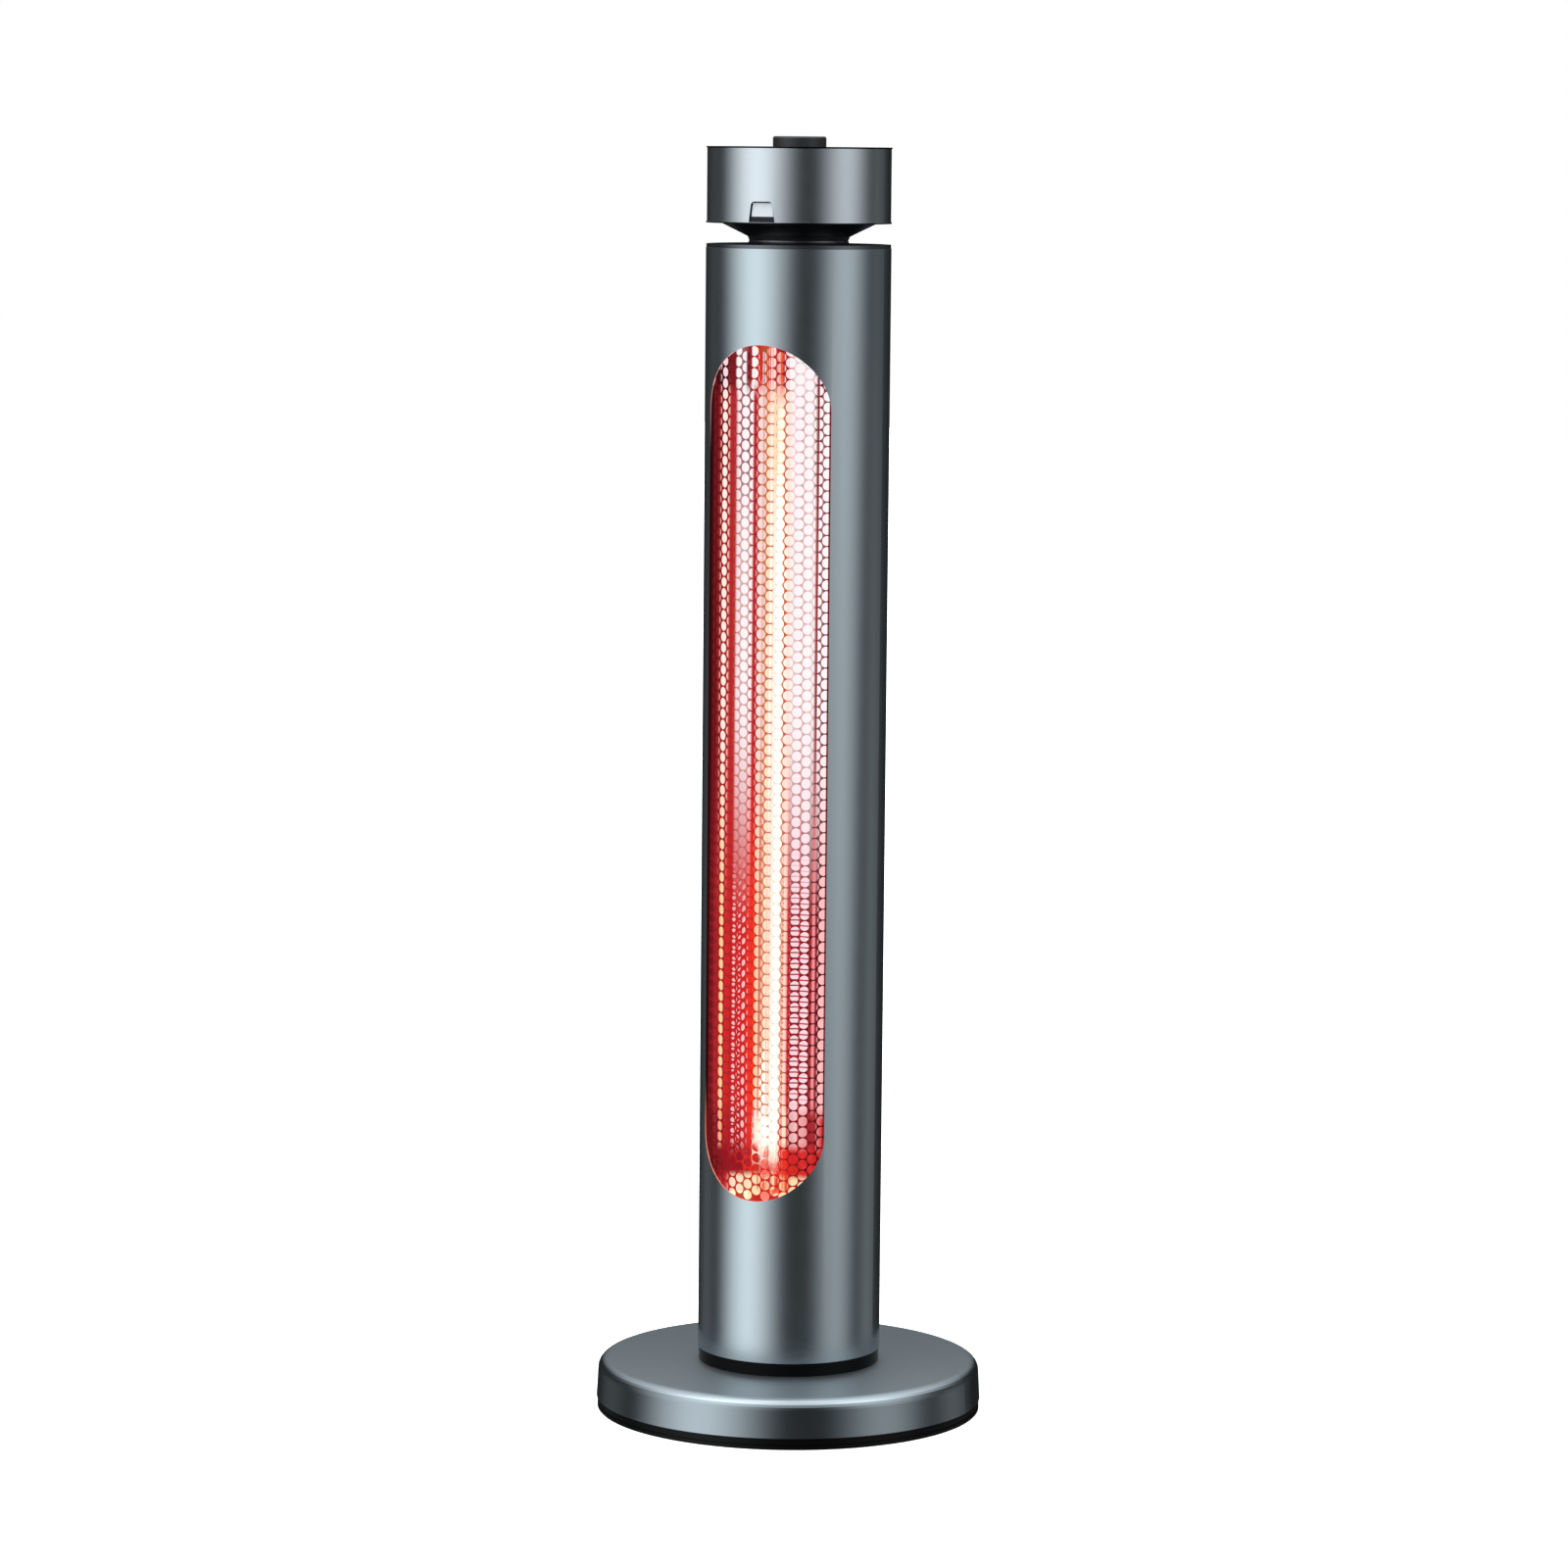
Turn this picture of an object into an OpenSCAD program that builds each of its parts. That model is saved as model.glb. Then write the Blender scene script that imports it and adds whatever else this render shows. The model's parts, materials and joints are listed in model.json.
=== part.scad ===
// Oscillating tower infrared heater: round weighted base, swivelling tube column with a honeycomb
// guard over a twin-tube quartz lamp, and a drum-shaped control head on a waisted neck.
// The front faces -Y, +Z is up, and the origin is the centre of the face that stands on the floor.

/* [Column] */
// Outer diameter of the column tube
column_d = 125; // [115:1:140]
// Length of the column tube
column_len = 752; // [650:1:900]
// Wall of the column tube
column_wall = 1.2; // [0.8:0.1:2]
// Height of the black collar ring under the tube
collar_h = 9; // [7:0.5:14]

/* [Base] */
// Diameter of the base at its lower edge
base_d = 264; // [240:1:320]
// Height of the base cover's top above the floor
base_h = 34; // [30:1:44]
// Height of the foot ring that shows under the cover
foot_h = 8; // [6:0.5:11]
// Sheet thickness of the base cover
cover_wall = 1.6; // [1:0.1:2]
// Radius of the cover's rounded shoulder
shoulder_r = 7; // [4:0.5:9]
// How much the cover's side draws in between its lower edge and its shoulder
skirt_taper = 1; // [0:0.5:3]

/* [Window and guard] */
// Width of the window in the tube
window_w = 88.5; // [76:0.5:94]
// Height of the window's lower end above the tube's lower edge
window_rise = 110.8; // [104:0.2:120]
// Height of the tube's wall above the window
window_drop = 63.6; // [56:0.2:90]
// Distance between the centres of two cells of the guard that lie one above the other
cell_pitch = 14.8; // [13:0.1:20]
// Width of the web between two cells
web_w = 1.6; // [1:0.1:3]
// Sheet thickness of the guard
guard_t = 0.8; // [0.5:0.1:1]

/* [Lamp] */
// Distance from the column's axis forward to the lamp's axis
lamp_ahead = 35.7; // [33:0.1:38]
// Distance between the two bores of the quartz tube
bore_gap = 8.6; // [8.2:0.1:10]
// Outer diameter of each half of the quartz tube
quartz_d = 10; // [9:0.1:11]
// Wall of the quartz tube
quartz_wall = 1.3; // [1:0.1:1.6]
// Outer diameter of each wound filament
filament_d = 5; // [3:0.1:5.5]
// Diameter of the filament's own wire
filament_wire = 1.2; // [0.8:0.1:1.6]
// Turns of each filament
filament_turns = 24; // [12:1:24]
// How far each filament's winding ends short of the window's end
cold_end = 25; // [18:1:40]

/* [Neck and head] */
// Height of the gap between the column's cap and the head
neck_gap = 14; // [12:0.5:20]
// Diameter of the neck at its waist
waist_d = 66.8; // [64:0.2:72]
// Diameter of the neck where it meets the head
neck_top_d = 106; // [90:1:110]
// Diameter of the head over its lips
head_d = 125; // [115:1:130]
// Height of the head
head_h = 51; // [46:1:70]
// Wall of the head's shell
head_wall = 2; // [1.2:0.1:2.5]
// Thickness of the cap plate on the column
cap_t = 2.5; // [2:0.1:4]
// Diameter of the push button on the head
button_d = 36; // [30:1:44]
// Height of the push button above the head's top
button_rise = 7; // [4:0.5:10]
// Travel of the push button
button_travel = 2; // [1:0.5:2.5]
// Width of the sensor pocket at its lower edge
pocket_w = 18.8; // [14:0.2:24]
// Height of the sensor pocket
pocket_h = 13.8; // [10:0.2:18]

/* [Swivel] */
// Module of the swivel gears, as a share of the column's diameter
gear_module_share = 0.01; // [0.0088:0.0002:0.0104]
// Teeth of the gear fixed to the base
fixed_teeth = 48; // [44:4:48]
// Teeth of the motor's pinion
pinion_teeth = 12; // [12:1:12]
// Diameter of the hollow spindle
spindle_d = 24; // [20:1:26]
// Radial running clearance of shafts in their bores
run_clear = 0.05; // [0.02:0.01:0.1]

/* [Hidden] */
$fn = 72;
round_facets = 120;

// Shared clearances
over = 1;
fit = 0.1;
gap = 0.3;

// Places that follow from the driving sizes
column_r = column_d / 2;
bore_r = column_r - column_wall;
inner_r = bore_r - 2 * fit;
tube_z = base_h + collar_h;
tube_top = tube_z + column_len;
cap_top = tube_top + cap_t;
head_z = cap_top + neck_gap;
head_top = head_z + head_h;
window_z = tube_z + window_rise;
window_top = tube_top - window_drop;
window_h = window_top - window_z;

// Base: cover, foot, floor plate, ballast and what they hold
base_r = base_d / 2;
shoulder_x = base_r - skirt_taper - shoulder_r;
foot_inset = 0.6;
foot_r = base_r - foot_inset;
foot_w = 12;
foot_bevel = 0.8;
groove_share = 0.36;
groove_h = 0.8;
spigot_h = 4;
spigot_w = 3;
plate_t = 2.5;
spigot_r = base_r - cover_wall - fit - skirt_taper * spigot_h / (base_h - shoulder_r - foot_h);
plate_r = spigot_r - spigot_w - fit;
plate_top = foot_h + plate_t;
under_top = base_h - cover_wall;
ballast_in = 66;
ballast_h = 15.5;
ballast_edge = 8;
ballast_r = plate_r - ballast_edge;
ballast_gap = 34;
post_r = 7;
post_count = 6;
post_ring = (ballast_in + ballast_r) / 2 + ballast_edge;
screw_r = 2;
screw_head_r = 4;
screw_head_h = 2.2;
screw_len = 12;
gland_r = 6.5;
gland_bore = 3.6;
gland_len = 14;
gland_flange_r = 8.5;
gland_flange_t = 2;
gland_inset = 0.6;
gland_z = plate_top + gland_flange_r + gap;
gland_y = base_r - skirt_taper - gland_inset;
block_size = [16, 34, 13];
block_x = 42;
block_groove = 3;
block_screw_r = 2.2;
block_poles = 3;
plunger_r = 4;
plunger_x = -40;
plunger_collar_r = 6;
plunger_collar_h = 2;
plunger_stem_r = 1.8;
plunger_travel = 4;
guide_r = 8;
guide_lip = 2;
spring_wire_r = 0.5;
spring_turns = 6;
tilt_box = [22, 16, 6];
tilt_top = under_top - gap;
guide_top = plate_top + guide_lip;
collar_z = guide_top + plunger_travel + gap;
plunger_wire_r = 0.35;
plunger_turns = 4;

// Swivel: spindle through the cover, fixed gear, glide ring, turntable, motor and pinion
spindle_r = spindle_d / 2;
spindle_wall = 4;
flange_share = 2;
flange_r = spindle_r * flange_share;
flange_h = 3;
gear_module = column_d * gear_module_share;
gear_h = 6;
gear_z = base_h + flange_h;
gear_top = gear_z + gear_h;
fixed_pitch_r = gear_module * fixed_teeth / 2;
pinion_pitch_r = gear_module * pinion_teeth / 2;
centre_y = fixed_pitch_r + pinion_pitch_r;
pressure_angle = 20;
addendum_share = 0.8;
dedendum_share = 1.15;
backlash = 0.35;
flank_steps = 4;
glide_inset = 6;
glide_r = inner_r - glide_inset;
glide_w = 5;
table_t = 2.5;
table_rise = 3;
table_z = tube_z + table_rise;
table_top = table_z + table_t;
rim_w = 2.6;
rim_h = 12;
screw_side_angle = 45;
hub_w = 5;
hub_r = spindle_r + hub_w;
hub_h = 13;
clip_z = gear_top + gap + hub_h + gap;
clip_h = 1.5;
clip_w = 4;
clip_groove = 0.8;
clip_slot = 8;
clip_over = 2;
spindle_top = clip_z + clip_h + clip_over;
spindle_drop = 10;
nut_h = 6.5;
nut_w = 8;
nut_r = spindle_r + nut_w;
motor_share = 0.272;
motor_r = column_r * motor_share;
motor_h = 15;
motor_ear_r = 3.5;
motor_ear_t = 1.2;
pinion_shaft_r = 3;
pinion_reach = 4;
pinion_hole_r = pinion_pitch_r + gear_module * addendum_share + over;
collar_w = 5.5;
collar_inset = 0.5;

// Column: bulkheads, rods, rails, reflector, shield and lamp
bulkhead_t = 2;
bulkhead_gap = 15.8;
bulkhead_z = window_z - bulkhead_gap - bulkhead_t;
rail_z = bulkhead_z + bulkhead_t;
rail_top = window_top + bulkhead_gap;
rail_h = rail_top - rail_z;
guard_r = bore_r - fit;
guard_lap = 3;
guard_lap_angle = 3.6;
guard_half = asin(window_w / 2 / column_r) + guard_lap_angle;
rail_gap_angle = 0.4;
rail_lap_angle = 3;
rail_span_angle = 9;
rail_depth = 4.2;
rail_r = guard_r - rail_depth;
reflector_t = 0.8;
reflector_back = 15.4;
reflector_r = rail_r - gap;
reflector_lap_angle = 2.4;
reflector_angle = guard_half + reflector_lap_angle;
reflector_x = reflector_r * sin(reflector_angle);
reflector_y = reflector_r * cos(reflector_angle);
fold_shares = [[0.12, 0.14], [0.22, 0], [0.52, 0], [0.815, 0.434], [1, 1]];
plate_gap = 3;
end_plate_t = 0.8;
end_plate_r = guard_r - guard_t - gap;
trough_z = window_z - plate_gap;
trough_top = window_top + plate_gap;
shield_step = 1.2;
shield_r = rail_r + shield_step;
shield_t = 0.8;
shield_gap_angle = 0.3;
shield_angle = guard_half + rail_gap_angle + rail_span_angle + shield_gap_angle;
rod_r = 3;
rod_angle = 36;
rod_ring_share = 0.77;
rod_ring = bore_r * rod_ring_share;
rod_nut_r = 5.5;
rod_nut_h = 5;
loom_r = 3;
bend_step = 90 / 4;
loom_ring_share = 0.78;
loom_y = bore_r * loom_ring_share;
loom_hole_gap = 1.5;
loom_hole_r = loom_r + loom_hole_gap;
quartz_r = quartz_d / 2;
quartz_bore_r = quartz_r - quartz_wall;
quartz_inset = 6;
quartz_z = rail_z + quartz_inset;
quartz_top = rail_top - quartz_inset;
ceramic_size = [25, 16];
ceramic_h = 18;
ceramic_seat = 12;
filament_z = window_z + cold_end;
filament_top = window_top - cold_end;
filament_r = (filament_d - filament_wire) / 2;
vent_w = 3;
vent_h = 24;
vent_count = 9;
vent_step_angle = 9;
vent_rise = 24;
cutout_r = 8;
cutout_h = 7;
cutout_tab = [3, 0.8, 8];
cutout_x = 24;

// Cap, neck and head
cap_inset = 0.3;
cap_spigot_h = 15;
cap_hole_r = 20;
neck_wall_r = 22;
neck_foot = 2.5;
neck_flare_angle = 10;
waist_share = 0.16;
waist_h_share = 0.36;
cone_share = 0.93;
cone_step = 2.4;
neck_screw_ring = 27;
neck_screw_len = 10;
neck_screw_count = 3;
lip_h = 1;
lip_proud = 0.5;
head_r = head_d / 2;
drum_r = head_r - lip_proud;
head_bore_r = drum_r - head_wall;
floor_t = 2;
ledge_w = 3;
ledge_h = 5;
top_plate_t = 2;
top_plate_drop = 0.2;
top_plate_z = head_top - top_plate_drop - top_plate_t;
button_r = button_d / 2;
button_guide_w = 2.5;
button_guide_h = 10;
button_flange_w = 2;
button_flange_h = 2.5;
button_edge = 1.5;
button_wall = 2.5;
button_stem_r = 3.5;
button_cavity = 6;
button_flange_z = top_plate_z - button_guide_h - gap - button_flange_h;
board_size = [78, 58, 1.6];
board_rise = 14;
board_z = head_z + floor_t + board_rise;
board_top = board_z + board_size[2];
standoff_r = 3;
standoff_inset = 5;
switch_size = [9, 9, 6];
switch_cap_r = 1.8;
switch_cap_h = 1.2;
stem_z = board_top + switch_size[2] + switch_cap_h + button_travel + gap;
relay_size = [15, 19, 15];
relay_x = 26;
relay_y = 14;
sink_size = [26, 12, 15];
sink_fins = 7;
sink_foot = 2;
sink_fin_t = 1.2;
sink_x = -22;
sink_y = 14;
button_spring_r = 8;
pocket_narrow = 1.4;
pocket_corner = 3;
pocket_sink = 2;
pocket_t = 2.5;
pocket_z = head_z + lip_h;
lens_h = 3.7;

// A ring with its lower face on the plane
module ring(r_out, r_in, h) {
  difference() {
    cylinder(r = r_out, h = h);
    translate([0, 0, -over]) cylinder(r = r_in, h = h + 2 * over);
  }
}

// Points of an arc, for outlines
function arc(centre, r, from, to, steps) =
  [for (i = [0:steps]) let (a = from + (to - from) * i / steps) centre + r * [cos(a), sin(a)]];

// A curved strip of the column: part of a ring between two angles measured from the front
module strip(r_out, r_in, h, from, to) {
  rotate([0, 0, from - 90]) rotate_extrude(angle = to - from)
    translate([r_in, 0]) square([r_out - r_in, h]);
}

// A flat wedge between two angles measured from the front
module wedge(from, to) {
  polygon([[0, 0], column_d * [sin(from), -cos(from)], column_d * [sin(to), -cos(to)]]);
}

// A slab with round corners, its lower face on the plane
module slab(size, h, corner) {
  linear_extrude(h) union() {
    square([size[0] - 2 * corner, size[1]], center = true);
    square([size[0], size[1] - 2 * corner], center = true);
    for (x = [-1, 1]) for (y = [-1, 1])
      translate([x * (size[0] / 2 - corner), y * (size[1] / 2 - corner)]) circle(r = corner);
  }
}

// A pan-head screw that points down, with the underside of its head on the plane
module screw(len) {
  cylinder(r = screw_head_r, h = screw_head_h);
  translate([0, 0, -len]) cylinder(r = screw_r, h = len);
}

// Copies of the children on a circle
module around(count, r, start) {
  for (i = [0:count - 1]) rotate([0, 0, start + i * 360 / count]) translate([r, 0, 0]) children();
}

function unit(v) = v / norm(v);
function ends(path, i) = [path[max(i - 1, 0)], path[min(i + 1, len(path) - 1)]];
function heading(path, i) = unit(ends(path, i)[1] - ends(path, i)[0]);

// A round tube along a path; across holds one direction for each point, square to the path there
module sweep(path, across, r, sides) {
  last = len(path) - 1;
  rings = [for (i = [0:last]) let (u = across[i], v = cross(heading(path, i), u))
    for (s = [0:sides - 1]) path[i] + r * (cos(360 * s / sides) * u + sin(360 * s / sides) * v)];
  walls = [for (i = [0:last - 1]) for (s = [0:sides - 1])
    let (a = i * sides + s, b = i * sides + (s + 1) % sides)
    for (f = [[a, a + sides, b], [b, a + sides, b + sides]]) f];
  caps = [for (s = [1:sides - 2])
    for (f = [[0, s, s + 1], [last * sides, last * sides + s + 1, last * sides + s]]) f];
  polyhedron(points = rings, faces = concat(walls, caps), convexity = 8);
}

// Points of a coil that climbs from z0 to z1, eight for each turn
coil_steps = 8;
wire_sides = 6;
function coil_path(r, z0, z1, turns) =
  [for (i = [0:turns * coil_steps]) let (a = 360 * i / coil_steps)
    [r * cos(a), r * sin(a), z0 + (z1 - z0) * i / (turns * coil_steps)]];
function coil_across(turns) =
  [for (i = [0:turns * coil_steps]) let (a = 360 * i / coil_steps) [cos(a), sin(a), 0]];
function least_gap(path, r) =
  min([for (i = [0:len(path) - coil_steps - 1]) norm(path[i + coil_steps] - path[i]) - 2 * r,
       for (i = [0:len(path) - coil_steps / 2 - 1]) norm(path[i + coil_steps / 2] - path[i]) - 2 * r]);

// Flank of a gear tooth: half its angular thickness at radius r
function inv(a) = tan(a) * 180 / PI - a;
function half_tooth(teeth, r) =
  let (pitch_r = gear_module * teeth / 2, root_r = pitch_r * cos(pressure_angle))
  90 / teeth + inv(pressure_angle) - inv(acos(min(1, root_r / r))) - backlash / 4 / pitch_r * 180 / PI;
function gear_radii(teeth) =
  let (pitch_r = gear_module * teeth / 2, low = pitch_r - dedendum_share * gear_module,
       foot = max(low, pitch_r * cos(pressure_angle)), tip = pitch_r + addendum_share * gear_module)
  concat([low], [for (k = [0:flank_steps]) foot + (tip - foot) * k / flank_steps]);
function gear_outline(teeth) =
  let (radii = gear_radii(teeth), n = len(radii))
  [for (i = [0:teeth - 1]) for (k = [0:2 * n - 1])
    let (r = radii[k < n ? k : 2 * n - 1 - k], side = k < n ? -1 : 1,
         a = i * 360 / teeth + side * half_tooth(teeth, r))
    r * [cos(a), sin(a)]];

// Base

module base_cover() {
  outer = concat([[spindle_r + fit, base_h]],
    arc([shoulder_x, base_h - shoulder_r], shoulder_r, 90, 0, 6), [[base_r, foot_h]]);
  inner = concat([[base_r - cover_wall, foot_h]],
    arc([shoulder_x, base_h - shoulder_r], shoulder_r - cover_wall, 0, 90, 6),
    [[spindle_r + fit, under_top]]);
  color("slategray") difference() {
    rotate_extrude($fn = round_facets) polygon(concat(outer, inner));
    translate([0, base_r - skirt_taper - gland_len, gland_z]) rotate([-90, 0, 0])
      cylinder(r = gland_r + fit, h = 2 * gland_len);
  }
}

module base_ballast() {
  color("dimgray") difference() {
    union() {
      translate([0, 0, plate_top]) ring(ballast_r, ballast_in, ballast_h);
      translate([0, 0, plate_top + ballast_h - over])
        around(post_count, post_ring, 0) cylinder(r = post_r, h = under_top - plate_top - ballast_h + over);
    }
    translate([-ballast_gap / 2, 0, plate_top - over]) cube([ballast_gap, base_r, base_h]);
    translate([0, 0, plate_top - over]) around(post_count, post_ring, 0)
      cylinder(r = screw_r + fit, h = screw_len + over);
  }
}

module base_plate() {
  color("dimgray") difference() {
    union() {
      translate([0, 0, foot_h]) cylinder(r = plate_r, h = plate_t);
      translate([plunger_x, 0, plate_top - over]) cylinder(r = guide_r, h = guide_lip + over);
    }
    translate([0, 0, foot_h - over]) around(post_count, post_ring, 0)
      cylinder(r = screw_r + fit, h = plate_t + 2 * over);
    translate([plunger_x, 0, foot_h - over]) cylinder(r = plunger_r + run_clear, h = base_h);
  }
}

module foot_ring() {
  groove_z = foot_h * groove_share;
  color([0.05, 0.05, 0.05]) rotate_extrude($fn = round_facets) polygon([
    [foot_r - foot_w, 0], [foot_r - foot_bevel, 0], [foot_r, foot_bevel], [foot_r, groove_z],
    [foot_r - foot_bevel, groove_z], [foot_r - foot_bevel, groove_z + groove_h],
    [foot_r, groove_z + groove_h],
    [foot_r, foot_h], [spigot_r, foot_h], [spigot_r, foot_h + spigot_h],
    [spigot_r - spigot_w, foot_h + spigot_h], [spigot_r - spigot_w, foot_h], [foot_r - foot_w, foot_h]
  ]);
}

module base_screws() {
  color("silver") translate([0, 0, foot_h]) mirror([0, 0, 1])
    around(post_count, post_ring, 0) screw(screw_len);
}

module cord_gland() {
  color([0.05, 0.05, 0.05]) translate([0, gland_y, gland_z]) rotate([90, 0, 0]) difference() {
    union() {
      cylinder(r = gland_r, h = gland_len);
      translate([0, 0, cover_wall + gland_inset + over + gland_flange_t])
        cylinder(r = gland_flange_r, h = gland_flange_t);
    }
    translate([0, 0, -over]) cylinder(r = gland_bore, h = gland_len + 2 * over);
  }
}

module terminal_block() {
  pole = block_size[1] / block_poles;
  color("ivory") translate([block_x, 0, plate_top]) difference() {
    translate([-block_size[0] / 2, -block_size[1] / 2, 0]) cube(block_size);
    for (i = [1:block_poles - 1])
      translate([-block_size[0], i * pole - (block_size[1] + block_groove) / 2,
                 block_size[2] - block_groove])
        cube([2 * block_size[0], block_groove, block_size[2]]);
    for (i = [0:block_poles - 1])
      translate([0, (i + 1 / 2) * pole - block_size[1] / 2, block_size[2] / 2])
        cylinder(r = block_screw_r, h = block_size[2]);
  }
}

module tilt_switch() {
  color("black") difference() {
    translate([plunger_x - tilt_box[0] / 2, -tilt_box[1] / 2, tilt_top - tilt_box[2]]) cube(tilt_box);
    translate([plunger_x, 0, tilt_top - tilt_box[2] - over])
      cylinder(r = plunger_stem_r + gap, h = tilt_box[2] - over);
  }
}

module tip_plunger() {
  color("white") translate([plunger_x, 0, 0]) union() {
    cylinder(r = plunger_r, h = collar_z);
    translate([0, 0, collar_z]) cylinder(r = plunger_collar_r, h = plunger_collar_h);
    cylinder(r = plunger_stem_r, h = tilt_top - tilt_box[2] + over);
  }
}

module plunger_spring() {
  low = collar_z + plunger_collar_h + plunger_wire_r + fit;
  high = tilt_top - tilt_box[2] - plunger_wire_r - fit;
  path = coil_path((plunger_stem_r + plunger_collar_r) / 2, low, high, plunger_turns);
  echo(str("plunger spring's least gap to itself: ", least_gap(path, plunger_wire_r), " mm"));
  color("silver") translate([plunger_x, 0, 0])
    sweep(path, coil_across(plunger_turns), plunger_wire_r, wire_sides);
}

module swivel_spindle() {
  color("silver") difference() {
    union() {
      translate([0, 0, under_top - spindle_drop])
        cylinder(r = spindle_r, h = spindle_top - under_top + spindle_drop);
      translate([0, 0, base_h]) cylinder(r = flange_r, h = flange_h);
    }
    translate([0, 0, under_top - spindle_drop - over])
      cylinder(r = spindle_r - spindle_wall, h = spindle_top);
    translate([0, 0, clip_z]) ring(spindle_r + over, spindle_r - clip_groove, clip_h);
  }
}

module spindle_nut() {
  color("silver") translate([0, 0, under_top - nut_h]) difference() {
    cylinder(r = nut_r, h = nut_h, $fn = 6);
    translate([0, 0, -over]) cylinder(r = spindle_r + run_clear, h = nut_h + 2 * over);
  }
}

module spindle_clip() {
  slot_y = spindle_r + clip_w;
  color("silver") translate([0, 0, clip_z + fit / 2]) difference() {
    ring(spindle_r - clip_groove + clip_w, spindle_r - clip_groove + run_clear, clip_h - fit);
    translate([-clip_slot / 2, -slot_y, -over]) cube([clip_slot, slot_y, clip_h + 2 * over]);
  }
}

module fixed_gear() {
  color("ivory") translate([0, 0, gear_z]) difference() {
    linear_extrude(gear_h) polygon(gear_outline(fixed_teeth));
    translate([0, 0, -over]) cylinder(r = spindle_r + run_clear, h = gear_h + 2 * over);
  }
}

module glide_ring() {
  color("ivory") translate([0, 0, base_h]) ring(glide_r, glide_r - glide_w, table_z - gap - base_h);
}

module supply_leads() {
  low = plate_top + block_size[2] / 2;
  reach = block_x - block_size[0] / 2 - gap;
  bend = spindle_r;
  high = clip_z;
  path = concat([[reach, 0, low], [bend, 0, low]],
    [for (a = [bend_step:bend_step:90 - bend_step]) [bend - bend * sin(a), 0, low + bend - bend * cos(a)]],
    [[0, 0, low + bend], [0, 0, high]]);
  color("white") sweep(path, [for (p = path) [0, 1, 0]], loom_r, coil_steps);
}

// Column

module turntable_plate() {
  color("gainsboro") difference() {
    union() {
      translate([0, 0, table_z]) cylinder(r = inner_r, h = table_t);
      translate([0, 0, tube_z]) ring(inner_r, inner_r - rim_w, rim_h);
      translate([0, 0, gear_top + gap]) cylinder(r = hub_r, h = hub_h);
    }
    translate([0, 0, gear_top]) cylinder(r = spindle_r + run_clear, h = 2 * hub_h);
    translate([0, centre_y, table_z - over]) cylinder(r = pinion_hole_r, h = table_t + 2 * over);
    column_screw_places() cylinder(r = screw_r + run_clear, h = 3 * rim_w, center = true);
  }
}

module collar_ring() {
  outer = column_r - collar_inset;
  color([0.02, 0.02, 0.02]) translate([0, 0, base_h + gap]) ring(outer, outer - collar_w, collar_h - gap);
}

module swivel_motor() {
  color("silver") translate([0, centre_y, table_top]) difference() {
    union() {
      cylinder(r = motor_r, h = motor_h);
      for (s = [-1, 1]) translate([s * (motor_r + motor_ear_r / 2), 0, 0])
        cylinder(r = motor_ear_r, h = motor_ear_t);
    }
    translate([0, 0, -over]) cylinder(r = pinion_shaft_r + run_clear, h = pinion_reach + gap + over);
  }
}

module drive_pinion() {
  color("ivory") translate([0, centre_y, gear_z + 2 * gap]) union() {
    rotate([0, 0, 180 / pinion_teeth]) linear_extrude(gear_h - 2 * gap) polygon(gear_outline(pinion_teeth));
    cylinder(r = pinion_shaft_r, h = table_top + pinion_reach - gear_z - 2 * gap);
  }
}

module column_tube() {
  color("slategray") difference() {
    translate([0, 0, tube_z]) ring(column_r, bore_r, column_len, $fn = round_facets);
    window_cutter();
    for (z = [tube_z + vent_rise, tube_top - vent_rise - vent_h]) for (i = [0:vent_count - 1])
      rotate([0, 0, (i - (vent_count - 1) / 2) * vent_step_angle])
        translate([-vent_w / 2, 0, z]) cube([vent_w, column_d, vent_h]);
    column_screw_places() cylinder(r = screw_r + fit, h = 6 * column_wall, center = true);
  }
}

// The window is cut straight through the front wall, with half-round ends
module window_cutter() {
  end_r = window_w / 2;
  translate([0, 0, window_z]) rotate([90, 0, 0]) linear_extrude(column_d) union() {
    translate([-end_r, end_r]) square([window_w, window_h - window_w]);
    translate([0, end_r]) circle(r = end_r, $fn = round_facets);
    translate([0, window_h - end_r]) circle(r = end_r, $fn = round_facets);
  }
}

// Four screws hold the tube from behind: two at its foot and two at its cap
module column_screw_places() {
  for (z = [tube_z + rim_h - screw_head_r, tube_top - cap_spigot_h / 2]) for (s = [-1, 1])
    rotate([0, 0, s * screw_side_angle]) translate([0, column_r, z]) rotate([-90, 0, 0]) children();
}

module bulkhead_holes() {
  rod_places() cylinder(r = rod_r + fit, h = 2 * bulkhead_t + 2 * over, center = true);
  translate([0, loom_y, 0]) cylinder(r = loom_hole_r, h = 2 * bulkhead_t + 2 * over, center = true);
}

module rod_places() {
  for (a = [rod_angle, 180 - rod_angle]) rotate([0, 0, a]) translate([rod_ring, 0, 0]) children();
}

module lower_bulkhead() {
  color("silver") translate([0, 0, bulkhead_z]) difference() {
    cylinder(r = inner_r, h = bulkhead_t);
    bulkhead_holes();
  }
}

module upper_bulkhead() {
  color("silver") translate([0, 0, rail_top]) difference() {
    cylinder(r = inner_r, h = bulkhead_t);
    bulkhead_holes();
  }
}

module tie_rods() {
  color("silver") translate([0, 0, table_top]) rod_places() cylinder(r = rod_r, h = tube_top - table_top);
}

module tie_rod_nuts() {
  color("silver") for (z = [bulkhead_z - rod_nut_h, rail_top + bulkhead_t]) translate([0, 0, z])
    rod_places() difference() {
      cylinder(r = rod_nut_r, h = rod_nut_h, $fn = 6);
      translate([0, 0, -over]) cylinder(r = rod_r + run_clear, h = rod_nut_h + 2 * over);
    }
}

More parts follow.
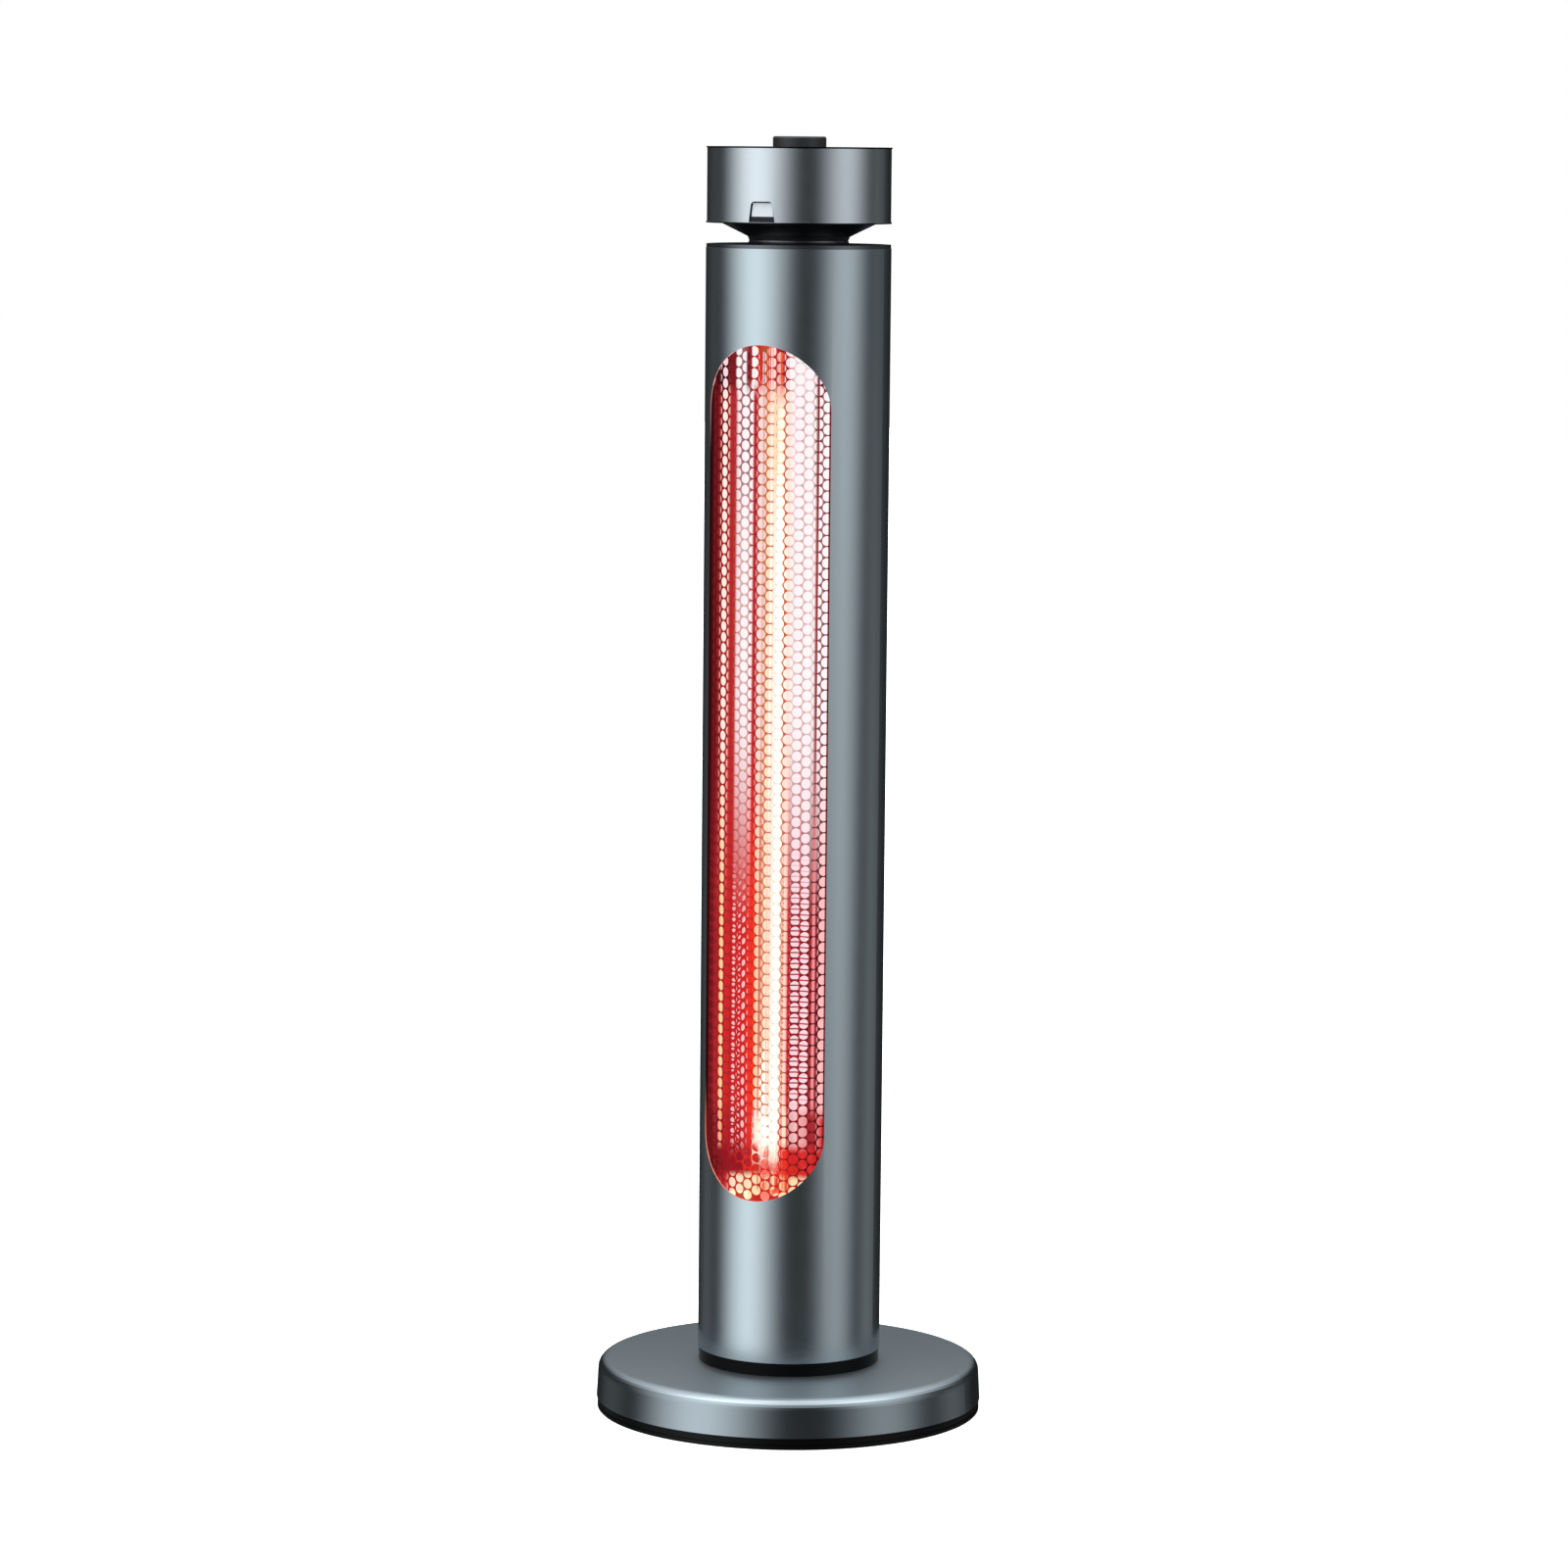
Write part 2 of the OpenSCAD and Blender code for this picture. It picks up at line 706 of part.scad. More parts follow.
// A rail traps one edge of the guard against the tube and carries one edge of the reflector
module rail() {
  edge = guard_half + rail_gap_angle;
  translate([0, 0, rail_z]) linear_extrude(rail_h) difference() {
    intersection() {
      difference() {
        circle(r = guard_r);
        circle(r = rail_r);
      }
      wedge(edge - rail_lap_angle, edge + rail_span_angle);
    }
    intersection() {
      difference() {
        circle(r = column_r);
        circle(r = guard_r - guard_t - fit);
      }
      wedge(edge - 2 * rail_lap_angle, edge);
    }
  }
}

module side_rail_right() {
  color("dimgray") rail();
}

module side_rail_left() {
  color("dimgray") mirror([1, 0, 0]) rail();
}

// Curved honeycomb sheet behind the window: hexagons with points to the sides, each second column
// half a cell higher
module front_grille() {
  cell_r = (cell_pitch - web_w) / 2 / cos(30);
  step = cell_pitch * cos(30);
  half_deg = guard_half;
  columns = floor((guard_r * half_deg * PI / 180 - cell_r) / step);
  rows = floor((window_h - web_w) / cell_pitch);
  low = window_z + (window_h - (rows - 0.5) * cell_pitch) / 2;
  color("dimgray") difference() {
    translate([0, 0, window_z - guard_lap])
      strip(guard_r, guard_r - guard_t, window_h + 2 * guard_lap, -half_deg, half_deg, $fn = round_facets);
    for (c = [-columns:columns]) for (k = [0:rows - 1])
      rotate([0, 0, c * step / guard_r * 180 / PI])
        translate([0, -guard_r + guard_t + over, low + (k + (c % 2 == 0 ? 0 : 0.5)) * cell_pitch])
          rotate([90, 0, 0]) cylinder(r = cell_r, h = guard_t + 2 * over, $fn = 6);
  }
}

// Folded trough: a flat back with a low ridge behind the lamp and two creases on each side
function fold(side) = [for (p = fold_shares)
  [side * p[0] * reflector_x, -reflector_back - p[1] * (reflector_y - reflector_back)]];
function reversed(v) = [for (i = [len(v) - 1:-1:0]) v[i]];
function fold_line() = concat(reversed(fold(-1)), fold(1));

module reflector() {
  front = fold_line();
  back = [for (p = reversed(front)) p + [0, reflector_t]];
  color("white") translate([0, 0, trough_z]) linear_extrude(trough_top - trough_z)
    polygon(concat(front, back));
}

// Plate that closes one end of the trough, with a slot that the lamp's ceramic passes through
module trough_plate() {
  linear_extrude(end_plate_t) difference() {
    intersection() {
      circle(r = end_plate_r);
      polygon(concat(fold_line(), [[column_r, -column_r], [-column_r, -column_r]]));
      translate([-reflector_x, -column_r]) square([2 * reflector_x, column_r]);
    }
    translate([0, -lamp_ahead]) square([ceramic_size[0] + gap, ceramic_size[1] + gap], center = true);
    rail_seat();
    mirror([1, 0, 0]) rail_seat();
  }
}

// Corner cut from an end plate so that it clears a rail
module rail_seat() {
  edge = guard_half + rail_gap_angle;
  intersection() {
    difference() {
      circle(r = guard_r);
      circle(r = rail_r - fit);
    }
    wedge(edge - rail_lap_angle - rail_gap_angle, edge + rail_span_angle);
  }
}

module reflector_bottom_plate() {
  color("white") translate([0, 0, trough_z - end_plate_t]) trough_plate();
}

module reflector_top_plate() {
  color("white") translate([0, 0, trough_top]) trough_plate();
}

module heat_shield() {
  color("silver") translate([0, 0, trough_z])
    strip(shield_r + shield_t, shield_r, trough_top - trough_z, shield_angle, 360 - shield_angle);
}

module quartz_outline(r) {
  for (s = [-1, 1]) translate([s * bore_gap / 2, 0]) circle(r = r);
}

module quartz_tube() {
  color([0.9, 0.5, 0.4, 0.5]) translate([0, -lamp_ahead, quartz_z])
    linear_extrude(quartz_top - quartz_z) difference() {
    union() {
      quartz_outline(quartz_r);
      square([bore_gap, quartz_d], center = true);
    }
    quartz_outline(quartz_bore_r);
  }
}

// One filament: a lead up from the lower ceramic, the winding, and a lead to the upper ceramic
module filament() {
  turns = filament_turns;
  path = concat([[filament_r, 0, quartz_z + gap]],
    coil_path(filament_r, filament_z, filament_top, turns), [[filament_r, 0, quartz_top - gap]]);
  across = concat([[1, 0, 0]], coil_across(turns), [[1, 0, 0]]);
  echo(str("filament's least gap to itself: ", least_gap(path, filament_wire / 2), " mm"));
  sweep(path, across, filament_wire / 2, wire_sides);
}

module filament_left() {
  color("orange") translate([-bore_gap / 2, -lamp_ahead, 0]) filament();
}

module filament_right() {
  color("orange") translate([bore_gap / 2, -lamp_ahead, 0]) filament();
}

// Ceramic end of the lamp, with a pocket that the quartz tube seats in
module lamp_base() {
  difference() {
    linear_extrude(ceramic_h) square(ceramic_size, center = true);
    translate([0, 0, ceramic_h - ceramic_seat]) linear_extrude(ceramic_h) union() {
      quartz_outline(quartz_r + fit);
      square([bore_gap, quartz_d + 2 * fit], center = true);
    }
  }
}

module lamp_base_lower() {
  color("linen") translate([0, -lamp_ahead, quartz_z - ceramic_h + ceramic_seat]) lamp_base();
}

module lamp_base_upper() {
  color("linen") translate([0, -lamp_ahead, quartz_top + ceramic_h - ceramic_seat])
    mirror([0, 0, 1]) lamp_base();
}

module thermal_cutout() {
  color("black") translate([cutout_x, 0, rail_top + bulkhead_t]) union() {
    cylinder(r = cutout_r, h = cutout_h);
    for (s = [-1, 1]) translate([s * cutout_r / 2 - cutout_tab[0] / 2, -cutout_tab[1] / 2, cutout_h - over])
      cube(cutout_tab + [0, 0, over]);
  }
}

// The loom climbs from the spindle, behind the reflector and the shield, to the control board
module wiring_loom() {
  low = spindle_top + gap;
  turn = loom_y / 2;
  high = rail_top + bulkhead_t + loom_y;
  lower_bend = concat(
    [for (a = [0:bend_step:90 - bend_step])
      [0, turn - turn * cos(a), bulkhead_z - 2 * turn - over + turn * sin(a)]],
    [for (a = [90:-bend_step:0]) [0, turn + turn * cos(a), bulkhead_z - over - turn * sin(a)]]);
  upper_bend = concat(
    [for (a = [0:bend_step:90 - bend_step])
      [0, loom_y - turn + turn * cos(a), rail_top + bulkhead_t + over + turn * sin(a)]],
    [for (a = [90:-bend_step:0]) [0, turn - turn * cos(a), high + over - turn * sin(a)]]);
  path = concat([[0, 0, low]], lower_bend, upper_bend, [[0, 0, board_z - gap]]);
  color("white") sweep(path, [for (p = path) [1, 0, 0]], loom_r, coil_steps);
}

// Cap, neck and head

module column_cap() {
  color([0.1, 0.1, 0.11]) difference() {
    union() {
      translate([0, 0, tube_top]) cylinder(r = column_r - cap_inset, h = cap_t);
      translate([0, 0, tube_top - cap_spigot_h]) ring(inner_r, inner_r - rim_w, cap_spigot_h);
    }
    translate([0, 0, tube_top - over]) cylinder(r = cap_hole_r, h = cap_t + 2 * over);
    translate([0, 0, tube_top - over]) neck_screw_places()
      cylinder(r = screw_r + fit, h = cap_t + 2 * over);
    column_screw_places() cylinder(r = screw_r + run_clear, h = 3 * rim_w, center = true);
  }
}

module neck_screw_places() {
  around(neck_screw_count, neck_screw_ring, 90) children();
}

module column_screws() {
  color("silver") column_screw_places() screw(2 * column_wall + rim_w / 2);
}

// Waisted cone: a small foot flare on the cap, the waist, then the cone up to the head
module neck() {
  waist_r = waist_d / 2;
  top_r = neck_top_d / 2;
  cone_z = neck_gap * waist_h_share;
  color([0.06, 0.06, 0.06]) translate([0, 0, cap_top]) difference() {
    rotate_extrude($fn = round_facets) polygon(concat(
      [[neck_wall_r, 0], [waist_r + neck_foot, 0]],
      arc([waist_r + neck_foot, neck_foot], neck_foot, 270 - neck_flare_angle, 180, 4),
      [[waist_r + neck_gap * waist_share - cone_step / 2, cone_z],
       [top_r - cone_step, neck_gap * cone_share], [top_r, neck_gap], [neck_wall_r, neck_gap]]));
    translate([0, 0, -over]) {
      neck_screw_places() cylinder(r = screw_r + run_clear, h = neck_gap + 2 * over);
      head_screw_places() cylinder(r = screw_r + run_clear, h = neck_gap + 2 * over);
    }
  }
}

module neck_screws() {
  color("silver") translate([0, 0, tube_top]) mirror([0, 0, 1])
    neck_screw_places() screw(cap_t + neck_screw_len / 2);
}

// Outline of the sensor pocket in the front wall, seen from the front, on its lower edge
module pocket_outline(shrink) {
  low = pocket_w / 2 - shrink;
  high = low - pocket_narrow;
  top = pocket_h - shrink;
  r = pocket_corner - shrink;
  polygon(concat([[-low, shrink], [low, shrink]], arc([high - r, top - r], r, 0, 90, 4),
    arc([-high + r, top - r], r, 90, 180, 4)));
}

module head_shell() {
  color("slategray") difference() {
    union() {
      translate([0, 0, head_z]) cylinder(r = drum_r, h = head_h, $fn = round_facets);
      for (z = [head_z, head_top - lip_h]) translate([0, 0, z])
        cylinder(r = head_r, h = lip_h, $fn = round_facets);
    }
    translate([0, 0, head_z + floor_t]) cylinder(r = head_bore_r - ledge_w, h = head_h);
    translate([0, 0, head_z + floor_t])
      cylinder(r = head_bore_r, h = top_plate_z - ledge_h - head_z - floor_t);
    translate([0, 0, top_plate_z]) cylinder(r = head_bore_r, h = head_h);
    translate([0, 0, head_z - over]) cylinder(r = neck_wall_r, h = floor_t + 2 * over);
    translate([0, 0, head_z - over]) head_screw_places()
      cylinder(r = screw_r + fit, h = floor_t + 2 * over);
    translate([0, -head_bore_r + 2 * head_wall, pocket_z]) rotate([90, 0, 0])
      linear_extrude(head_r) pocket_outline(0);
  }
}

module head_screw_places() {
  around(neck_screw_count, neck_screw_ring, -90) children();
}

module head_screws() {
  color("silver") translate([0, 0, head_z + floor_t])
    head_screw_places() screw(floor_t + neck_screw_len / 2);
}

module head_top_plate() {
  color([0.06, 0.06, 0.07]) difference() {
    union() {
      translate([0, 0, top_plate_z]) cylinder(r = head_bore_r - fit, h = top_plate_t);
      translate([0, 0, top_plate_z - button_guide_h])
        cylinder(r = button_r + gap + button_guide_w, h = button_guide_h + over);
    }
    translate([0, 0, top_plate_z - button_guide_h - over]) cylinder(r = button_r + gap, h = head_h);
  }
}

module control_board() {
  color("darkgreen") translate([0, 0, board_z]) difference() {
    slab(board_size, board_size[2], 2 * gap);
    translate([0, 0, -over]) standoff_places() cylinder(r = screw_r / 2, h = board_size[2] + 2 * over);
  }
}

module standoff_places() {
  for (x = [-1, 1]) for (y = [-1, 1])
    translate([x * (board_size[0] / 2 - standoff_inset), y * (board_size[1] / 2 - standoff_inset), 0])
      children();
}

module board_standoffs() {
  color("silver") translate([0, 0, head_z + floor_t])
    standoff_places() cylinder(r = standoff_r, h = board_rise);
}

module power_relays() {
  color("royalblue") for (s = [-1, 1]) translate([relay_x, s * relay_y, board_top])
    slab([relay_size[0], relay_size[1]], relay_size[2], 2 * gap);
}

module heat_sink() {
  pitch = (sink_size[0] - sink_fin_t) / (sink_fins - 1);
  color("silver") translate([sink_x - sink_size[0] / 2, sink_y - sink_size[1] / 2, board_top]) union() {
    cube([sink_size[0], sink_size[1], sink_foot]);
    for (i = [0:sink_fins - 1]) translate([i * pitch, 0, 0]) cube([sink_fin_t, sink_size[1], sink_size[2]]);
  }
}

module button_switch() {
  color("black") translate([0, 0, board_top]) union() {
    slab([switch_size[0], switch_size[1]], switch_size[2], 2 * gap);
    cylinder(r = switch_cap_r, h = switch_size[2] + switch_cap_h);
  }
}

module button_spring() {
  low = board_top + spring_wire_r + fit;
  high = button_flange_z + button_cavity - spring_wire_r - fit;
  path = coil_path(button_spring_r, low, high, spring_turns);
  echo(str("button spring's least gap to itself: ", least_gap(path, spring_wire_r), " mm"));
  color("silver") sweep(path, coil_across(spring_turns), spring_wire_r, wire_sides);
}

// The pale diffuser fills the upper part of the pocket, set back from the drum's surface
module sensor_window() {
  color("lightgray") pocket_piece() difference() {
    pocket_outline(fit);
    translate([-pocket_w, 0]) square([2 * pocket_w, lens_h + fit]);
  }
}

// The dark lens over the remote receiver fills the lower part
module receiver_lens() {
  color([0.08, 0.08, 0.1]) pocket_piece() intersection() {
    pocket_outline(fit);
    translate([-pocket_w, 0]) square([2 * pocket_w, lens_h]);
  }
}

module pocket_piece() {
  translate([0, -drum_r + pocket_sink + pocket_t, pocket_z]) rotate([90, 0, 0])
    linear_extrude(pocket_t) children();
}

// The button slides in the top plate's guide; its flange keeps it from lifting out
module push_button() {
  top = head_top + button_rise;
  low = button_flange_z;
  color([0.16, 0.17, 0.18]) difference() {
    union() {
      rotate_extrude($fn = round_facets) polygon(concat([[0, low], [button_r + gap + button_flange_w, low],
        [button_r + gap + button_flange_w, low + button_flange_h], [button_r, low + button_flange_h]],
        arc([button_r - button_edge, top - button_edge], button_edge, 0, 90, 4), [[0, top]]));
      translate([0, 0, stem_z]) cylinder(r = button_stem_r, h = low + button_cavity - stem_z + over);
    }
    translate([0, 0, low - over]) ring(button_r - button_wall, button_stem_r, button_cavity + over);
  }
}

base_cover();
base_ballast();
base_plate();
foot_ring();
base_screws();
cord_gland();
terminal_block();
tilt_switch();
tip_plunger();
plunger_spring();
swivel_spindle();
spindle_nut();
spindle_clip();
fixed_gear();
glide_ring();
supply_leads();
turntable_plate();
collar_ring();
swivel_motor();
drive_pinion();
column_tube();
lower_bulkhead();
upper_bulkhead();
tie_rods();
tie_rod_nuts();
side_rail_left();
side_rail_right();
front_grille();
reflector();
reflector_bottom_plate();
reflector_top_plate();
heat_shield();
quartz_tube();
filament_left();
filament_right();
lamp_base_lower();
lamp_base_upper();
thermal_cutout();
wiring_loom();
column_cap();
column_screws();
neck();
neck_screws();
head_shell();
head_top_plate();
head_screws();
control_board();
board_standoffs();
power_relays();
heat_sink();
button_switch();
button_spring();
sensor_window();
receiver_lens();
push_button();
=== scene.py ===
# %% [markdown]
# A tower infrared heater, dressed for a studio picture.
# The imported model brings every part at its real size. This script gives the parts their finish, and
# replaces the few whose shape asks for a finer mesh: the honeycomb guard, the wound filaments and
# springs, and the bundles of leads.

# %% Frame and its box
import json
import math

import bmesh
import bpy
import numpy as np
from mathutils import Matrix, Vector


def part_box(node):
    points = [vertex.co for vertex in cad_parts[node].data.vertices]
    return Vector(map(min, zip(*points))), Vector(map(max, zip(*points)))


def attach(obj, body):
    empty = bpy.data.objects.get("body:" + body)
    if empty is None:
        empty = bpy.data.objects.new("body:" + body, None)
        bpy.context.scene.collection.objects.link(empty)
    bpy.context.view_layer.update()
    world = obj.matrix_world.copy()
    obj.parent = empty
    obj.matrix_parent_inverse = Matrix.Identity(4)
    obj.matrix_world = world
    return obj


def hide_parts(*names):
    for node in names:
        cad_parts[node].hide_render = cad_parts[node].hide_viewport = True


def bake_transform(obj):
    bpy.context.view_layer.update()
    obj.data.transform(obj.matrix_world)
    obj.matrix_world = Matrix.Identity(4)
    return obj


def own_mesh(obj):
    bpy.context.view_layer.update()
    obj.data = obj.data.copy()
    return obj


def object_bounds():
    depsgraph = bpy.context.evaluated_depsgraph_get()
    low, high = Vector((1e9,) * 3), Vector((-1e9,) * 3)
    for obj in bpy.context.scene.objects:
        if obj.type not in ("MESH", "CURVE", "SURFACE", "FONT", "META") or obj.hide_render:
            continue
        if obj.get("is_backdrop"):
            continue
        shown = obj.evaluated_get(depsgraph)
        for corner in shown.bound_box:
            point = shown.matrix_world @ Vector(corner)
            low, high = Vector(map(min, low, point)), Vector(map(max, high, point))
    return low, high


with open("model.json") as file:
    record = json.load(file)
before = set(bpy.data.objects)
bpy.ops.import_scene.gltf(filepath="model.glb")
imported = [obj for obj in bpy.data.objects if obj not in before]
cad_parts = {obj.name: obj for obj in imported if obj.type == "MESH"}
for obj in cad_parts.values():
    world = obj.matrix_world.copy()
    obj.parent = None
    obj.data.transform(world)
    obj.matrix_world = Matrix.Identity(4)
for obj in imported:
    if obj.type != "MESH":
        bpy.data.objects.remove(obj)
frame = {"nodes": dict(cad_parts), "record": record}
cad_low, cad_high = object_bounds()
nodes = frame["nodes"]
MM = 0.001
print("frame holds", len(nodes), "nodes")


# %% [markdown]
# Sizes come from the frame itself. A node's box gives its corners, so the radius of a round part is
# half its width, and a piece made here lands exactly where the part it stands for lies.

# %% Sizes read from the frame
def low_high(node):
    """Lowest and highest corner of a node, in metres, as two arrays."""
    low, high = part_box(node)
    return np.array(low), np.array(high)


def radius(node):
    """Outer radius of a round node: half its width."""
    low, high = low_high(node)
    return (high[0] - low[0]) / 2


guard_low, guard_high = low_high("front_grille")
head_low, head_high = low_high("head_shell")
tube_r = radius("column_tube")
print("column radius", round(tube_r, 4), "height", round(cad_high[2], 4))

# %% [markdown]
# The camera stands a little above the head and to the right of the front, and looks down the column
# with a long lens, so that the sides stay almost parallel. It turns and rolls by the small amounts
# by which the picture is off square.

# %% Camera
CAM_AZIMUTH = math.radians(23.81)
CAM_DISTANCE = 3.6726
CAM_HEIGHT = 0.8657
CAM_PITCH = math.radians(6.742)
CAM_YAW = math.radians(0.1032)
CAM_ROLL = math.radians(0.5208)
CAM_LENS = 124.72
SENSOR = 36.0


def add_camera():
    """Places the camera on a circle round the column and points it down, turned and rolled."""
    data = bpy.data.cameras.new("camera")
    data.lens, data.sensor_width = CAM_LENS, SENSOR
    camera = bpy.data.objects.new("camera", data)
    bpy.context.scene.collection.objects.link(camera)
    across, ahead = math.sin(CAM_AZIMUTH), -math.cos(CAM_AZIMUTH)
    camera.location = (CAM_DISTANCE * across, CAM_DISTANCE * ahead, CAM_HEIGHT)
    turn = Matrix.Rotation(CAM_AZIMUTH + CAM_YAW, 4, "Z")
    tilt = Matrix.Rotation(math.radians(90) - CAM_PITCH, 4, "X")
    roll = Matrix.Rotation(CAM_ROLL, 4, "Z")
    camera.rotation_euler = (turn @ tilt @ roll).to_euler()
    bpy.context.scene.camera = camera


add_camera()

# %% [markdown]
# Light and finishes are both made from shader nodes. A few small helpers make the nodes that come up
# all the time.

# %% Node helpers
COLOR, FLOAT = "NodeSocketColor", "NodeSocketFloat"


def new_group(name, inputs, outputs):
    """An empty shader node group with named float or colour sockets."""
    tree = bpy.data.node_groups.new(name, "ShaderNodeTree")
    for label, kind, value in inputs:
        socket = tree.interface.new_socket(label, in_out="INPUT", socket_type=kind)
        socket.default_value = value
    for label, kind in outputs:
        tree.interface.new_socket(label, in_out="OUTPUT", socket_type=kind)
    return tree, tree.nodes.new("NodeGroupInput"), tree.nodes.new("NodeGroupOutput")


def math_node(tree, operation, *values, clamp=False):
    """A Math node; each value is a number or a socket to link."""
    node = tree.nodes.new("ShaderNodeMath")
    node.operation, node.use_clamp = operation, clamp
    for socket, value in zip(node.inputs, values):
        if isinstance(value, (int, float)):
            socket.default_value = value
        else:
            tree.links.new(value, socket)
    return node.outputs[0]


def times(tree, first, second, clamp=False):
    """The product of two values."""
    return math_node(tree, "MULTIPLY", first, second, clamp=clamp)


def minus(tree, first, second):
    """The difference of two values."""
    return math_node(tree, "SUBTRACT", first, second)


def smooth_rise(tree, value, start, end, low=0.0, high=1.0):
    """Goes smoothly from low to high while the value goes from start to end."""
    node = tree.nodes.new("ShaderNodeMapRange")
    node.interpolation_type = "SMOOTHSTEP"
    for label, number in (("From Min", start), ("From Max", end), ("To Min", low), ("To Max", high)):
        node.inputs[label].default_value = number
    tree.links.new(value, node.inputs["Value"])
    return node.outputs["Result"]


def mix_colors(tree, factor, first, second):
    """Blends two colours by a factor; each is a tuple or a socket."""
    node = tree.nodes.new("ShaderNodeMix")
    node.data_type = "RGBA"
    for index, value in ((0, factor), (6, first), (7, second)):
        if hasattr(value, "is_linked"):
            tree.links.new(value, node.inputs[index])
        else:
            node.inputs[index].default_value = value if index == 0 else (*value, 1.0)
    return node.outputs[2]


def axes(tree, kind="Object"):
    """X, Y and Z of a texture coordinate as sockets."""
    split = tree.nodes.new("ShaderNodeSeparateXYZ")
    tree.links.new(tree.nodes.new("ShaderNodeTexCoord").outputs[kind], split.inputs[0])
    return split.outputs["X"], split.outputs["Y"], split.outputs["Z"]


def axis_distance(tree, x, y):
    """Distance from the column's axis: the root of x x + y y."""
    return math_node(tree, "SQRT", math_node(tree, "MULTIPLY_ADD", x, x, times(tree, y, y)))


def span(tree, value, rise, fall):
    """1 between a rise and a fall, and 0 beyond them; each is the pair of places that it goes between."""
    up, down = smooth_rise(tree, value, *rise), smooth_rise(tree, value, *fall)
    return times(tree, up, down)


def glow(material, color, strength=1.0):
    """Makes a material give off a colour of its own: a socket, or one colour all over."""
    shader = material.node_tree.nodes["Principled BSDF"]
    if hasattr(color, "is_linked"):
        material.node_tree.links.new(color, shader.inputs["Emission Color"])
    else:
        shader.inputs["Emission Color"].default_value = (*color, 1)
    shader.inputs["Emission Strength"].default_value = strength
    return material


# %% [markdown]
# The studio is a light tent: white cloth all round, lit brighter in places. Seen in the lacquer it
# gives a broad soft highlight on the left, a narrower one on the right, and a dark line between. Such
# a tent is easiest to make as the world's own light, as a function of direction: panels that fade out
# smoothly over the azimuth, and a pale roof. The camera itself sees plain white.

# %% Light tent
TENT_TINT = (0.96, 1.0, 1.03)
WALL, ROOF = (-0.3, 0.6, 0.05, 0.02), (0.25, 0.85, 0.0, 1.7)  # from, to, light there and there
BELOW, NARROW, LEVEL = -0.22, 0.02, 0.06
PANEL_TAPER = 1.16
OVER_ONE = 1.0001  # keeps the root real straight up
PANELS = [
    {"azimuth": -31.0, "reach": 62.0, "low": 1.42, "high": 1.50},
    {"azimuth": 84.5, "reach": 46.0, "low": 0.50, "high": 0.95},
    {"azimuth": 140.0, "reach": 34.0, "low": 0.24, "high": 0.10},
    {"azimuth": -108.0, "reach": 34.0, "low": 0.11, "high": 0.03},
]


def panel(tree, x, y, z, azimuth, reach, low, high):
    """Fades smoothly to nothing at the reach in degrees from its azimuth.

    It goes from high to low while Z goes from LEVEL down to BELOW. There it is narrower too: the angle
    from its middle counts as PANEL_TAPER times as much.
    """
    a = math.radians(azimuth)
    across = times(tree, x, math.sin(a))
    facing = math_node(tree, "MULTIPLY_ADD", y, -math.cos(a), across)
    flat = math_node(tree, "SQRT", minus(tree, OVER_ONE, times(tree, z, z)))
    away = math_node(tree, "ARCCOSINE", math_node(tree, "DIVIDE", facing, flat))
    away = times(tree, away, smooth_rise(tree, z, BELOW, NARROW, PANEL_TAPER, 1.0))
    shape = smooth_rise(tree, away, math.radians(reach), 0.0)
    return times(tree, shape, smooth_rise(tree, z, BELOW, LEVEL, low, high))


def light_tent():
    """World light for everything but the camera: a dim wall, the panels and the roof, by direction."""
    world = bpy.data.worlds.new("light_tent")
    bpy.context.scene.world = world
    world.use_nodes = True
    tree = world.node_tree
    tree.nodes.clear()
    x, y, z = axes(tree, "Generated")
    light = math_node(tree, "ADD", smooth_rise(tree, y, *WALL), smooth_rise(tree, z, *ROOF))
    for place in PANELS:
        light = math_node(tree, "ADD", light, panel(tree, x, y, z, **place))
    tint = tree.nodes.new("ShaderNodeVectorMath")
    tint.operation = "SCALE"
    tint.inputs[0].default_value = TENT_TINT
    tree.links.new(light, tint.inputs["Scale"])
    tent, paper = tree.nodes.new("ShaderNodeBackground"), tree.nodes.new("ShaderNodeBackground")
    tree.links.new(tint.outputs[0], tent.inputs["Color"])
    paper.inputs["Color"].default_value = (1, 1, 1, 1)
    mix, out = tree.nodes.new("ShaderNodeMixShader"), tree.nodes.new("ShaderNodeOutputWorld")
    tree.links.new(tree.nodes.new("ShaderNodeLightPath").outputs["Is Camera Ray"], mix.inputs[0])
    tree.links.new(tent.outputs[0], mix.inputs[1])
    tree.links.new(paper.outputs[0], mix.inputs[2])
    tree.links.new(mix.outputs[0], out.inputs[0])


light_tent()
bpy.context.scene.view_settings.view_transform = "Standard"

# %% [markdown]
# New pieces are grids of points worked out with numpy. A grid has rows and columns, and each cell
# becomes one face. Several grids make one piece: they are put in one mesh, their shared points are
# welded, and the faces are turned outwards together.

# %% Grids to meshes
WELD = 2e-6


def grid_faces(rows, columns, start=0, wrap=False):
    """Faces of a grid whose points run row by row; wrap joins the last column to the first."""
    r, c = np.meshgrid(np.arange(rows - 1), np.arange(columns if wrap else columns - 1), indexing="ij")
    n = (c + 1) % columns
    quads = np.stack([r * columns + c, r * columns + n, (r + 1) * columns + n, (r + 1) * columns + c], -1)
    return quads.reshape(-1, 4) + start


